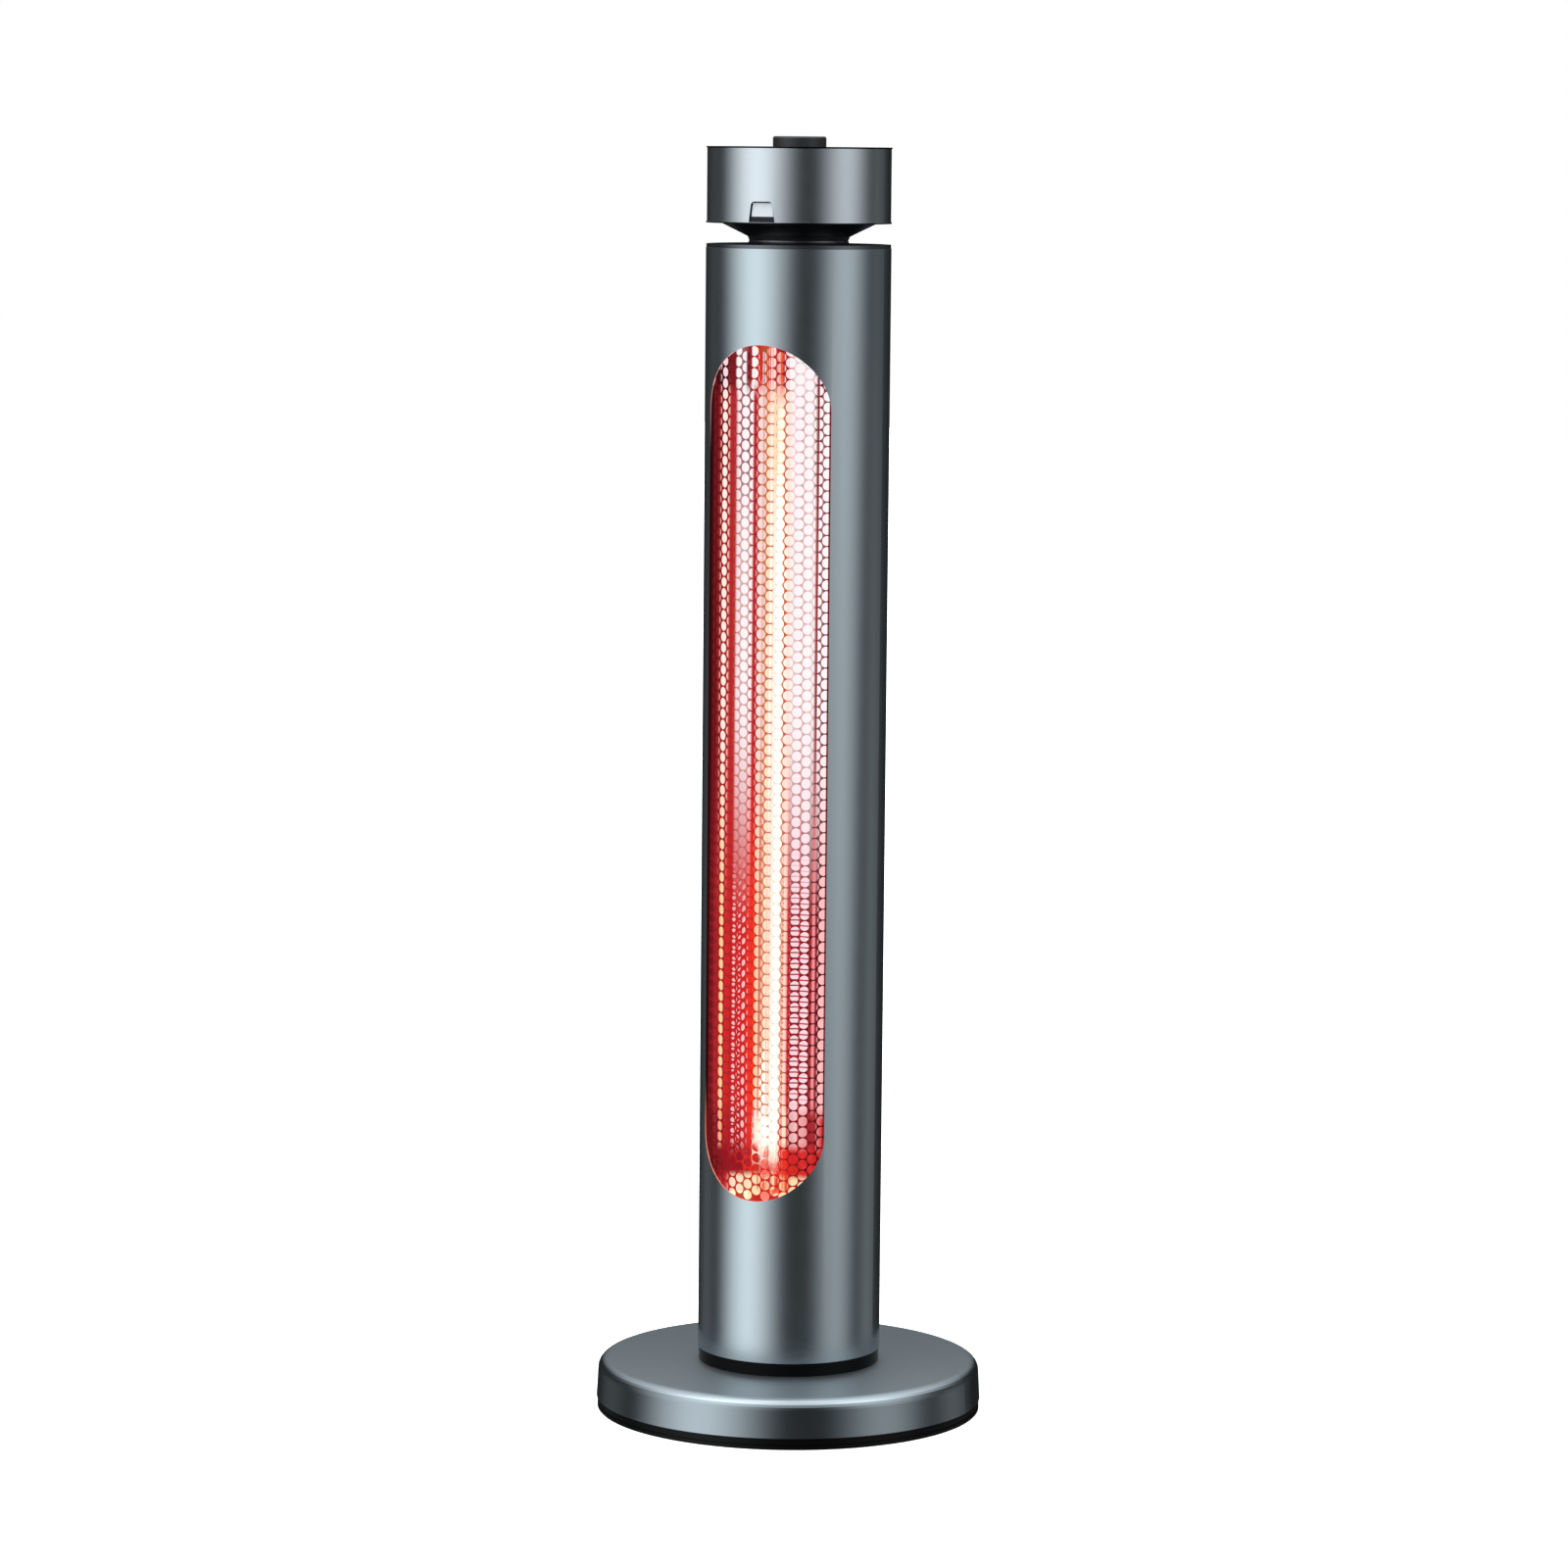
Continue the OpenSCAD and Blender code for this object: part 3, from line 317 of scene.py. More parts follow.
def mesh_piece(name, points, faces, material, sharp=35.0):
    """Makes an object from points and faces: welds, closes and turns the faces outwards."""
    mesh = bpy.data.meshes.new(name)
    mesh.from_pydata(np.asarray(points).tolist(), [], [list(map(int, f)) for f in faces])
    work = bmesh.new()
    work.from_mesh(mesh)
    bmesh.ops.remove_doubles(work, verts=work.verts, dist=WELD)
    bmesh.ops.dissolve_degenerate(work, edges=work.edges, dist=WELD / 2)
    bmesh.ops.recalc_face_normals(work, faces=work.faces)
    open_edges = sum(1 for e in work.edges if len(e.link_faces) != 2)
    work.to_mesh(mesh)
    work.free()
    mesh.shade_smooth()
    mesh.set_sharp_from_angle(angle=math.radians(sharp))
    piece = bpy.data.objects.new(name, mesh)
    bpy.context.scene.collection.objects.link(piece)
    mesh.materials.append(material)
    print(name, len(mesh.polygons), "faces,", open_edges, "open edges")
    return piece


def around(z, r, angle):
    """Points at height z, radius r and an angle measured from the front towards +X."""
    z, r, angle = np.broadcast_arrays(z, r, angle)
    return np.stack([r * np.sin(angle), -r * np.cos(angle), z], -1)


# %% [markdown]
# No real surface is one flat colour. Lacquer has a fine grain of flakes, moulded plastic a slight
# texture, and everything is a little uneven over a hand's width. One node group makes these effects
# from noise at three sizes, so that each finish only says how strong each of them is.

# %% Surface group
WIDE, MIDDLE, FINE = 14.0, 90.0, 1800.0
DUST, DUST_FROM = (0.55, 0.53, 0.50), 0.25


def noise(tree, vector, scale, detail=2.0):
    """A noise value between about 0.3 and 0.7, with features about 1/scale metres across."""
    node = tree.nodes.new("ShaderNodeTexNoise")
    node.inputs["Scale"].default_value = scale
    node.inputs["Detail"].default_value = detail
    tree.links.new(vector, node.inputs["Vector"])
    return node.outputs["Fac"]


def build_surface_group():
    """Colour = base x (1 + mottle x (wide noise - 0.5) + flake x (fine noise - 0.5)), and dust on top.

    Roughness = base + smear x (middle noise - 0.5) + dust. Height is the fine noise.
    """
    tree, given, out = new_group(
        "surface",
        [("Color", COLOR, (0.5, 0.5, 0.5, 1)), ("Roughness", FLOAT, 0.4),
         ("Mottle", FLOAT, 0.1), ("Flake", FLOAT, 0.1),
         ("Smear", FLOAT, 0.05), ("Dust", FLOAT, 0.0)],
        [("Color", COLOR), ("Roughness", FLOAT), ("Height", FLOAT)])
    place = tree.nodes.new("ShaderNodeTexCoord").outputs["Object"]
    wide, middle, fine = noise(tree, place, WIDE), noise(tree, place, MIDDLE), noise(tree, place, FINE, 1.0)
    mottle = times(tree, minus(tree, wide, 0.5), given.outputs["Mottle"])
    flake = times(tree, minus(tree, fine, 0.5), given.outputs["Flake"])
    gain = math_node(tree, "ADD", math_node(tree, "ADD", mottle, flake), 1.0)
    scale = tree.nodes.new("ShaderNodeVectorMath")
    scale.operation = "SCALE"
    tree.links.new(given.outputs["Color"], scale.inputs[0])
    tree.links.new(gain, scale.inputs["Scale"])
    facing = tree.nodes.new("ShaderNodeSeparateXYZ")
    tree.links.new(tree.nodes.new("ShaderNodeNewGeometry").outputs["Normal"], facing.inputs[0])
    patch = minus(tree, middle, DUST_FROM)
    up = times(tree, facing.outputs["Z"], patch, clamp=True)
    dust = times(tree, up, given.outputs["Dust"], clamp=True)
    tree.links.new(mix_colors(tree, dust, scale.outputs[0], DUST), out.inputs["Color"])
    smear = times(tree, minus(tree, middle, 0.5), given.outputs["Smear"])
    uneven = math_node(tree, "ADD", given.outputs["Roughness"], smear)
    tree.links.new(math_node(tree, "ADD", uneven, dust, clamp=True), out.inputs["Roughness"])
    tree.links.new(fine, out.inputs["Height"])
    return tree


surface_group = build_surface_group()


# %% [markdown]
# A finish is one material made with that group. The numbers that are the same all over, such as how
# metallic it is, go straight onto the shader.

# %% Finish helper
def finish(name, color, roughness, metallic=0.0, mottle=0.1, flake=0.1, smear=0.05, dust=0.0, relief=0.1,
           depth=0.04 * MM, ior=1.5):
    """A material whose colour, roughness and relief come from the surface group."""
    material = bpy.data.materials.new(name)
    material.use_nodes = True
    tree = material.node_tree
    shader = tree.nodes["Principled BSDF"]
    shader.inputs["Metallic"].default_value = metallic
    shader.inputs["IOR"].default_value = ior
    group = tree.nodes.new("ShaderNodeGroup")
    group.node_tree = surface_group
    for label, value in (("Color", (*color, 1.0)), ("Roughness", roughness), ("Mottle", mottle),
                         ("Flake", flake), ("Smear", smear), ("Dust", dust)):
        group.inputs[label].default_value = value
    bump = tree.nodes.new("ShaderNodeBump")
    bump.inputs["Strength"].default_value = relief
    bump.inputs["Distance"].default_value = depth
    tree.links.new(group.outputs["Height"], bump.inputs["Height"])
    tree.links.new(group.outputs["Color"], shader.inputs["Base Color"])
    tree.links.new(group.outputs["Roughness"], shader.inputs["Roughness"])
    tree.links.new(bump.outputs["Normal"], shader.inputs["Normal"])
    return material


# %% Finishes of the shells
def paint_over(material, mask, color):
    """Lays a second colour over the base colour where the mask is 1."""
    tree = material.node_tree
    base = tree.nodes["Principled BSDF"].inputs["Base Color"]
    below = base.links[0].from_socket
    tree.links.new(mix_colors(tree, mask, below, color), base)


LACQUER = {"metallic": 1.0, "mottle": 0.04, "flake": 0.10, "smear": 0.05, "dust": 0.02, "relief": 0.05}
GUNMETAL = (0.435, 0.495, 0.525)
lacquer = finish("gunmetal_lacquer", GUNMETAL, 0.24, **LACQUER)
head_lacquer = finish("head_lacquer", (0.52, 0.56, 0.588), 0.22, **LACQUER)
tube_lacquer = finish("tube_lacquer", GUNMETAL, 0.24, **LACQUER)

# %% [markdown]
# The head's two lips are black, and the cut walls of its pocket are painted black as painted shade. On
# the base the lacquer is a darker copy of the gunmetal, as painted shade, and its flat top is painted
# darker still, as painted shade; the top is also a little crowned and has a softer sheen than the
# skirt. The crown is too slight for the solid, so it is only a lean of the shading normal, which grows
# with the distance from the axis. The cut edge of the window is bare to the lamp, and the lamp's light
# on it is painted as a glow, a little at both ends.

# %% Head lips, and painted shade in the pocket
LIP_ABOVE, LIP_BELOW = 1.05 * MM, 0.85 * MM
DRUM_SKIN = 0.65 * MM
# black of the lips, and painted shade on the pocket's cut walls
LIP_BLACK_AND_RECESS_SHADE = (0.008, 0.009, 0.012)


def blacken_head(material):
    """Black where the height is in one of the lips, or the radius is under the drum's by its skin; on the
    pocket's cut walls the black is painted shade.
    """
    tree = material.node_tree
    x, y, z = axes(tree)
    lips = math_node(tree, "MAXIMUM", math_node(tree, "GREATER_THAN", z, float(head_high[2]) - LIP_ABOVE),
                     math_node(tree, "LESS_THAN", z, float(head_low[2]) + LIP_BELOW))
    # painted shade: the pocket's cut walls are painted black
    inner = math_node(tree, "LESS_THAN", axis_distance(tree, x, y), float(head_high[0]) - DRUM_SKIN)
    paint_over(material, math_node(tree, "MAXIMUM", lips, inner), LIP_BLACK_AND_RECESS_SHADE)


blacken_head(head_lacquer)

# %% Base crown, and painted shade on the base
BASE_TOP = (31.5 * MM, 33.9 * MM)
TOP_SHEEN = 0.22
CROWN = (0.8, 0.8, 0.0)


def build_base_lacquer():
    """Skirt and edge below, top above the heights BASE_TOP; normal = N + CROWN x place, made one long."""
    # a darker copy of the gunmetal lacquer, as painted shade
    material = finish("base_lacquer", (0.31, 0.355, 0.38), 0.20, metallic=1.0, mottle=0.01, flake=0.02,
                      smear=0.02, dust=0.0, relief=0.0)
    tree = material.node_tree
    shader = tree.nodes["Principled BSDF"]
    top = smooth_rise(tree, axes(tree)[2], *BASE_TOP)
    # the top is painted darker than the skirt, as painted shade
    paint_over(material, top, (0.25, 0.283, 0.304))
    rough = shader.inputs["Roughness"].links[0].from_socket
    tree.links.new(math_node(tree, "MULTIPLY_ADD", top, TOP_SHEEN, rough), shader.inputs["Roughness"])
    lean, unit = tree.nodes.new("ShaderNodeVectorMath"), tree.nodes.new("ShaderNodeVectorMath")
    lean.operation, unit.operation = "MULTIPLY_ADD", "NORMALIZE"
    tree.links.new(tree.nodes.new("ShaderNodeTexCoord").outputs["Object"], lean.inputs[0])
    lean.inputs[1].default_value = CROWN
    tree.links.new(tree.nodes.new("ShaderNodeNewGeometry").outputs["Normal"], lean.inputs[2])
    tree.links.new(lean.outputs[0], unit.inputs[0])
    tree.links.new(unit.outputs[0], shader.inputs["Normal"])
    return material


base_lacquer = build_base_lacquer()

# %% Cut edge of the window, with painted lamp light
EDGE_START, EDGE_END = 0.1 * MM, 1.1 * MM
EDGE_DIM = (0.035, 0.004, 0.004)
EDGE_LOW, LOW_LIGHT = (0.235, 0.185), (0.80, 0.24, 0.14)
EDGE_HIGH, HIGH_LIGHT = (0.655, 0.700), (0.56, 0.20, 0.18)


def light_cut_edge(material):
    """Paints the lamp's light on the cut edge of the window as a glow, between two depths under the tube's
    skin.

    It shows at the two ends of the window, pinkish above and orange below, and hardly at the sides.
    """
    tree = material.node_tree
    x, y, z = axes(tree)
    r = axis_distance(tree, x, y)
    inside = math_node(tree, "LESS_THAN", r, tube_r - EDGE_START)
    edge = times(tree, inside, math_node(tree, "GREATER_THAN", r, tube_r - EDGE_END))
    front = times(tree, edge, math_node(tree, "LESS_THAN", y, 0.0))
    low = mix_colors(tree, smooth_rise(tree, z, *EDGE_LOW), EDGE_DIM, LOW_LIGHT)
    both = mix_colors(tree, smooth_rise(tree, z, *EDGE_HIGH), low, HIGH_LIGHT)
    # painted lamp light on the cut edge, as emission
    glow(material, mix_colors(tree, front, (0.0, 0.0, 0.0), both))


light_cut_edge(tube_lacquer)

# %% Black finishes
gloss_black = finish("gloss_black", (0.002, 0.002, 0.002), 0.14, mottle=0.3, flake=0.2, smear=0.05,
                     relief=0.03, ior=1.2)
satin_black = finish("satin_black", (0.010, 0.010, 0.012), 0.36, mottle=0.3, flake=0.4, smear=0.08,
                     relief=0.1, ior=1.4)
neck_black = finish("neck_black", (0.012, 0.012, 0.014), 0.30, mottle=0.3, flake=0.3, smear=0.05,
                    relief=0.03, ior=2.2)
cap_black = finish("black_lacquer", (0.125, 0.138, 0.152), 0.30, metallic=0.95, mottle=0.2, flake=0.4,
                   dust=0.01, relief=0.15)
foot_rubber = finish("foot_rubber", (0.0022, 0.0022, 0.0024), 0.34, mottle=0.4, flake=0.8, smear=0.1,
                     dust=0.002, relief=0.3, ior=1.22)
button_grey = finish("button_plastic", (0.020, 0.021, 0.023), 0.42, mottle=0.2, flake=0.6, dust=0.01,
                     relief=0.35)

# %% Finishes of the inner parts
BARE_METAL = {"metallic": 1.0, "flake": 0.2, "smear": 0.2}
zinc_steel = finish("zinc_plated_steel", (0.56, 0.56, 0.57), 0.34, mottle=0.3, **BARE_METAL)
mill_sheet = finish("mill_aluminium", (0.68, 0.68, 0.69), 0.40, mottle=0.2, **BARE_METAL)
cast_iron = finish("cast_iron", (0.06, 0.06, 0.06), 0.62, metallic=0.6, mottle=0.5, flake=1.0, smear=0.2,
                   relief=0.8, depth=0.2 * MM)
nylon_white = finish("natural_nylon", (0.74, 0.71, 0.62), 0.42, mottle=0.12, flake=0.1, relief=0.2)
switch_black = finish("switch_black", (0.02, 0.02, 0.022), 0.40, mottle=0.2, flake=0.5, relief=0.3)
sleeve_white = finish("silicone_sleeve", (0.66, 0.65, 0.60), 0.50, mottle=0.2, flake=0.2, relief=0.3)
board_green = finish("board_mask", (0.02, 0.12, 0.05), 0.30, mottle=0.4, flake=0.3, relief=0.2)
relay_blue = finish("relay_blue", (0.03, 0.06, 0.30), 0.30, mottle=0.2, flake=0.1, relief=0.1)
diffuser_pale = finish("diffuser", (0.80, 0.84, 0.88), 0.30, mottle=0.05, flake=0.05, relief=0.1)
lens_dark = finish("receiver_lens", (0.012, 0.013, 0.018), 0.25, mottle=0.2, flake=0.1, relief=0.02,
                   ior=1.25)

# %% Painted shade round the diffuser
RIM_SHADE_WIDTH = 0.9 * MM
RIM_SHADE_SLANT = 0.10


def shade_diffuser_rim(material):
    """Painted shade, black at the top and at both slanted sides: |x| + slant x height over the width less
    the shaded rim.
    """
    tree = material.node_tree
    x, y, z = axes(tree)
    low, high = low_high("sensor_window")
    height = minus(tree, z, float(low[2]))
    reach = math_node(tree, "MULTIPLY_ADD", height, RIM_SHADE_SLANT, math_node(tree, "ABSOLUTE", x))
    sides = math_node(tree, "GREATER_THAN", reach, float(high[0]) - RIM_SHADE_WIDTH)
    above = math_node(tree, "GREATER_THAN", z, float(high[2]) - RIM_SHADE_WIDTH)
    # painted shade of the recess along the diffuser's top and sides
    paint_over(material, math_node(tree, "MAXIMUM", sides, above), (0.004, 0.004, 0.005))


shade_diffuser_rim(diffuser_pale)

# %% Finish of each slot
slot_finish = {
    "body_metal": lacquer, "foot_rubber": foot_rubber, "black_gloss": gloss_black,
    "black_satin": satin_black, "button_plastic": button_grey, "cap_metal": cap_black,
    "steel": zinc_steel, "cast_iron": cast_iron, "nylon": nylon_white, "wire": sleeve_white,
    "board": board_green, "relay": relay_blue, "diffuser": diffuser_pale, "lens": lens_dark,
    "shield_sheet": mill_sheet,
}

# %% [markdown]
# The guard is one thin curved sheet cut into hexagons. It is drawn flat first: a cell has a place along
# the arc and a height, and every second column sits half a cell higher. Each cell is a ring of faces
# between its hexagon and a hole with rounded corners, on the front and on the back, with a wall
# between them. Cells at the rim have no hole and are cut off at the edge of the sheet.

# %% Guard cells
CELL_PITCH = 7.4 * MM
CELL_SHIFT = 1.7 * MM
GUARD_WEB = 0.75 * MM
GUARD_SHEET = 0.8 * MM
HOLE_CORNER = math.radians(17)
KEEP_HIGH, KEEP_WIDE, OPEN_WIDE = 0.4, 0.6, 0.7  # shares of a cell at the edge of the sheet
CELL_POINTS = 18
guard_r = -guard_low[1]
guard_span = math.asin(guard_high[0] / guard_r) * guard_r


def hexagon(size, corner=0.0):
    """Corners of a hexagon with flat top: size is half its height; corner cuts each corner in two."""
    angle = np.radians(60.0 * np.arange(6))
    if corner > 0:
        angle = np.stack([angle - corner, angle + corner], -1).reshape(-1)
    reach = size / np.cos(np.radians(30) - corner)
    return reach * np.stack([np.cos(angle), np.sin(angle)], -1)


def cell_places():
    """Centres of all cells on the flat sheet, and whether each is open."""
    step = CELL_PITCH * math.cos(math.radians(30))
    columns = int(guard_span // step) + 2
    middle, half = (guard_low[2] + guard_high[2]) / 2, (guard_high[2] - guard_low[2]) / 2
    rows = int(half // CELL_PITCH) + 1
    c, k = np.meshgrid(np.arange(-columns, columns + 1), np.arange(-rows, rows + 1), indexing="ij")
    arc = c * step + CELL_SHIFT
    z = (k + np.where(c % 2 == 0, 0.0, 0.5)) * CELL_PITCH
    keep = (np.abs(z) < half + CELL_PITCH * KEEP_HIGH) & (np.abs(arc) < guard_span + step * KEEP_WIDE)
    is_open = (np.abs(arc) + step * OPEN_WIDE < guard_span) & (np.abs(z) + CELL_PITCH / 2 < half)
    return np.stack([arc, z + middle], -1)[keep], is_open[keep]


centres, is_open = cell_places()
print("guard:", len(centres), "cells,", int(is_open.sum()), "open")


# %% Guard sheet
def wrap(flat, r):
    """Bends flat points (arc, height) round the axis at radius r, cut off at the edge of the sheet."""
    arc = np.clip(flat[..., 0], -guard_span, guard_span)
    z = np.clip(flat[..., 1], guard_low[2], guard_high[2])
    return around(z, r, arc / guard_r)


def guard_parts():
    """Points and faces of both sides, and the walls in the holes.

    An open cell has CELL_POINTS points: six corners, and then twelve round its hole.
    """
    outer, hole = hexagon(CELL_PITCH / 2), hexagon((CELL_PITCH - GUARD_WEB) / 2, corner=HOLE_CORNER)
    points, faces, start = [], [], 0
    opened, closed = centres[is_open], centres[~is_open]
    k = np.arange(6)
    n = (k + 1) % 6
    for r in (guard_r, guard_r - GUARD_SHEET):
        flat = np.concatenate([outer, hole])[None] + opened[:, None]
        points.append(wrap(flat, r).reshape(-1, 3))
        first = start + CELL_POINTS * np.arange(len(opened))[:, None]
        side = np.stack([first + k, first + n, first + 6 + 2 * n, first + 7 + 2 * k], -1).reshape(-1, 4)
        corner = np.stack([first + k, first + 7 + 2 * k, first + 6 + 2 * k], -1).reshape(-1, 3)
        faces += side.tolist() + corner.tolist()
        start += CELL_POINTS * len(opened)
        points.append(wrap(outer[None] + closed[:, None], r).reshape(-1, 3))
        faces += (start + 6 * np.arange(len(closed))[:, None] + k).tolist()
        start += 6 * len(closed)
    per_layer = start // 2
    j = np.arange(12)
    ring = CELL_POINTS * np.arange(len(opened))[:, None] + 6
    a, b = ring + j, ring + (j + 1) % 12
    faces += np.stack([a, b, b + per_layer, a + per_layer], -1).reshape(-1, 4).tolist()
    return np.concatenate(points), faces, per_layer


def rim_walls(points, faces, per_layer):
    """Walls between the front and back sheet along the edges that only one front face has."""
    keys = np.round(points[:per_layer] / (2 * WELD)).astype(np.int64)
    _, name = np.unique(keys, axis=0, return_inverse=True)
    name = name.reshape(-1)
    seen = {}
    for face in faces:
        if max(face) < per_layer:
            for p, q in zip(face, face[1:] + face[:1]):
                pair = (min(name[p], name[q]), max(name[p], name[q]))
                if pair[0] != pair[1]:
                    seen.setdefault(pair, []).append((p, q))
    edges = {pair for pair, used in seen.items() if len(used) == 1}
    rim = [seen[pair][0] for pair in edges]
    in_hole = CELL_POINTS * int(is_open.sum())
    rim = [(p, q) for p, q in rim
           if not (p < in_hole and p % CELL_POINTS >= 6 and q % CELL_POINTS >= 6)]
    return [[p, q, q + per_layer, p + per_layer] for p, q in rim]


# %% [markdown]
# The lamp glows through the guard, and its light on the guard and its reflection in the trough are
# painted into their colour by where they stand: orange near the lamp, deep red at the sides, near white
# in the upper half. One group does this: ramps of colours read at the Object X coordinate, one for each
# level of height, and the levels pass smoothly into each other.

# %% Bands of painted lamp light
BAND_HALF = 50 * MM


def srgb(color):
    """Linear colour for 8-bit display values."""
    c = np.array(color, float) / 255
    return tuple(np.where(c <= 0.04045, c / 12.92, ((c + 0.055) / 1.055) ** 2.4).tolist())


def ramp(tree, value, stops):
    """A colour ramp over -50 mm to 50 mm; the stops are pairs of mm and tint with commas between."""
    node = tree.nodes.new("ShaderNodeValToRGB")
    elements = node.color_ramp.elements
    elements.remove(elements[1])
    for index, stop in enumerate(stops.split(", ")):
        place, tint = stop.split()
        position = (float(place) * MM + BAND_HALF) / (2 * BAND_HALF)
        element = elements[0] if index == 0 else elements.new(position)
        element.position = position
        element.color = (*srgb(LAMP_TINTS[tint]), 1)
    tree.links.new(value, node.inputs["Fac"])
    return node.outputs["Color"]


def build_bands(name, levels):
    """Group: colour by X; each level is (from height, to height, stops) and takes over between them."""
    tree, _, out = new_group(name, [], [("Color", COLOR)])
    x, y, z = axes(tree)
    across = math_node(tree, "MULTIPLY_ADD", x, 1 / (2 * BAND_HALF), 0.5, clamp=True)
    color = None
    for start, end, stops in levels:
        level = ramp(tree, across, stops)
        share = smooth_rise(tree, z, start, end)
        color = level if color is None else mix_colors(tree, share, color, level)
    tree.links.new(color, out.inputs["Color"])
    return tree


# %% Tints of the lamp's light
LAMP_TINTS = {  # from what stays dark to white-hot, as seen on a screen, 0 to 255
    "soot": (24, 2, 4), "maroon": (60, 8, 14), "wine": (100, 14, 22), "garnet": (124, 22, 28),
    "crimson": (150, 24, 34), "ruby": (176, 34, 40), "red": (204, 36, 36), "scarlet": (230, 42, 28),
    "brick": (196, 84, 52), "copper": (206, 118, 80), "tan": (216, 146, 110), "mauve": (160, 112, 114),
    "shell": (216, 176, 172), "blush": (236, 212, 210), "rose": (236, 142, 148), "petal": (250, 190, 192),
    "amber": (254, 184, 120), "honey": (254, 226, 174), "cream": (253, 224, 198), "ivory": (254, 236, 224),
    "lilac": (254, 218, 226), "white": (254, 245, 248),
}

# %% Painted lamp light on the guard
# painted lamp light on the guard's webs
guard_bands = build_bands("guard_bands", [
    (0, 0, "-36 wine, -26 crimson, -18 red, -6 brick, 2 red, 22 red, 36 garnet"),
    (0.166, 0.176, "-38 maroon, -26 garnet, -14 crimson, -8 scarlet, 16 scarlet, 22 ruby, 34 wine"),
    (0.176, 0.186, "-38 wine, -26 crimson, -10 red, -2 scarlet, -0.8 cream, 8.2 ivory, 9.6 copper, "
        "10.6 ivory, 16 ivory, 17 red, 22 crimson, 34 garnet, 44 maroon"),
    (0.206, 0.22, "-44 soot, -42.4 maroon, -41 garnet, -38.7 crimson, -34 crimson, -30.5 ruby, -20 ruby, "
        "-15 red, -4 red, -1 scarlet, 2 brick, 4 copper, 7 tan, 9.4 brick, 10.4 ivory, 16.2 ivory, "
        "17.2 tan, 18.4 copper, 20.2 brick, 22.7 crimson, 28 crimson, 33 garnet, 36 wine, 41 wine, "
        "44 maroon"),
    (0.33, 0.5, "-44 soot, -42.4 maroon, -41 maroon, -38.7 wine, -35 wine, -33 garnet, -29 ruby, "
        "-21 ruby, -18.5 brick, -14 shell, -7.6 shell, -5.6 ruby, -2 ruby, 1.5 copper, 7 copper, "
        "9.4 brick, 10.4 ivory, 16 ivory, 17 copper, 18.2 brick, 20.5 rose, 23 blush, 27.9 shell, "
        "35.2 blush, 36.8 garnet, 40 mauve, 42 garnet, 44 maroon"),
    (0.6, 0.66, "-44 soot, -41.6 maroon, -38.7 wine, -33 wine, -29 crimson, -27 crimson, -21 ruby, "
        "-14 mauve, -8 mauve, -5 crimson, -2 ruby, 2 copper, 9.4 copper, 10.4 honey, 15.4 honey, "
        "17 brick, 20.5 shell, 23 lilac, 28 shell, 34 blush, 36.5 wine, 38 garnet, 40 mauve, 42 garnet, "
        "44 maroon"),
    (0.694, 0.708, "-44 soot, -28 maroon, -20 garnet, -14 mauve, -8 crimson, -2 red, 4 brick, 10 red, "
        "16 crimson, 20 ruby, 23 blush, 34 blush, 36.5 wine, 44 garnet"),
])

# %% Painted lamp light and painted reflection on the trough
# painted reflection of the lamp in the polished trough
trough_bands = build_bands("trough_bands", [
    (0, 0, "-44 garnet, -37 ruby, -34 cream, -14 honey, -11 amber, -8.5 honey, -5.5 red, 1 red, 3 amber, "
        "5 red, 8 honey, 24 cream, 28 ruby, 44 crimson"),
    (0.16, 0.166, "-44 wine, -36 crimson, -26 crimson, -22 red, -18 scarlet, 4 scarlet, 10 red, 24 red, "
        "44 crimson"),
    (0.18, 0.188, "-44 wine, -41 garnet, -40.6 rose, -39.4 amber, -38.8 ruby, -26 ruby, -23.6 scarlet, "
        "-21.4 scarlet, -20.2 ivory, -8.6 ivory, 4 cream, 5 red, 6.8 shell, 11 petal, 12.2 ruby, "
        "13.2 shell, 18.4 rose, 19.6 crimson, 26.2 crimson, 27.2 rose, 33 red, 36 ruby, 44 crimson"),
    (0.204, 0.216, "-44 crimson, -41 crimson, -40.6 amber, -39.4 honey, -38.8 red, -30 red, -25 scarlet, "
        "-22.4 scarlet, -21.4 amber, -19 cream, 2 cream, 3.6 petal, 4.6 red, 5.8 red, 6.8 lilac, "
        "11 lilac, 12.2 ruby, 13.2 lilac, 18.4 lilac, 19.6 crimson, 21 crimson, 21.8 rose, 23.6 rose, "
        "24.4 garnet, 26.2 garnet, 27.2 petal, 33 petal, 44 mauve"),
    (0.33, 0.5, "-44 wine, -42.2 garnet, -41.8 ruby, -41.2 ivory, -38.2 ivory, -37.4 ruby, -34.6 ruby, "
        "-33.4 lilac, -31 white, -25.2 white, -24.3 ruby, -22.9 ruby, -22 lilac, -16 cream, 1 cream, "
        "4 ivory, 6 white, 20.5 white, 22.2 garnet, 23.2 garnet, 24.2 white, 33 white, 36 ivory, 44 rose"),
    (0.694, 0.708, "-44 soot, -41.9 maroon, -41.2 lilac, -39 lilac, -38.2 wine, -35 garnet, -34.2 white, "
        "-29.4 white, -28.4 wine, -26.2 garnet, -25.4 white, -21.8 ivory, -21 red, -18.2 red, "
        "-17.4 amber, -13.6 amber, -12.6 ruby, -9.9 ruby, -9.2 white, -5.9 white, -5.2 crimson, "
        "0.2 crimson, 1 rose, 2.4 white, 20.5 white, 22.2 wine, 23.2 wine, 24.2 white, 44 shell"),
])


# %% [markdown]
# The polished trough also mirrors the guard's own cells, and these reflections are painted: small
# slanting dashes at its left, where it is steep, and rungs at half the cells' pitch at its right. Both are
# masks made from the coordinates: a place in a lattice, taken from the nearest whole number, and an
# ellipse or a line round it.

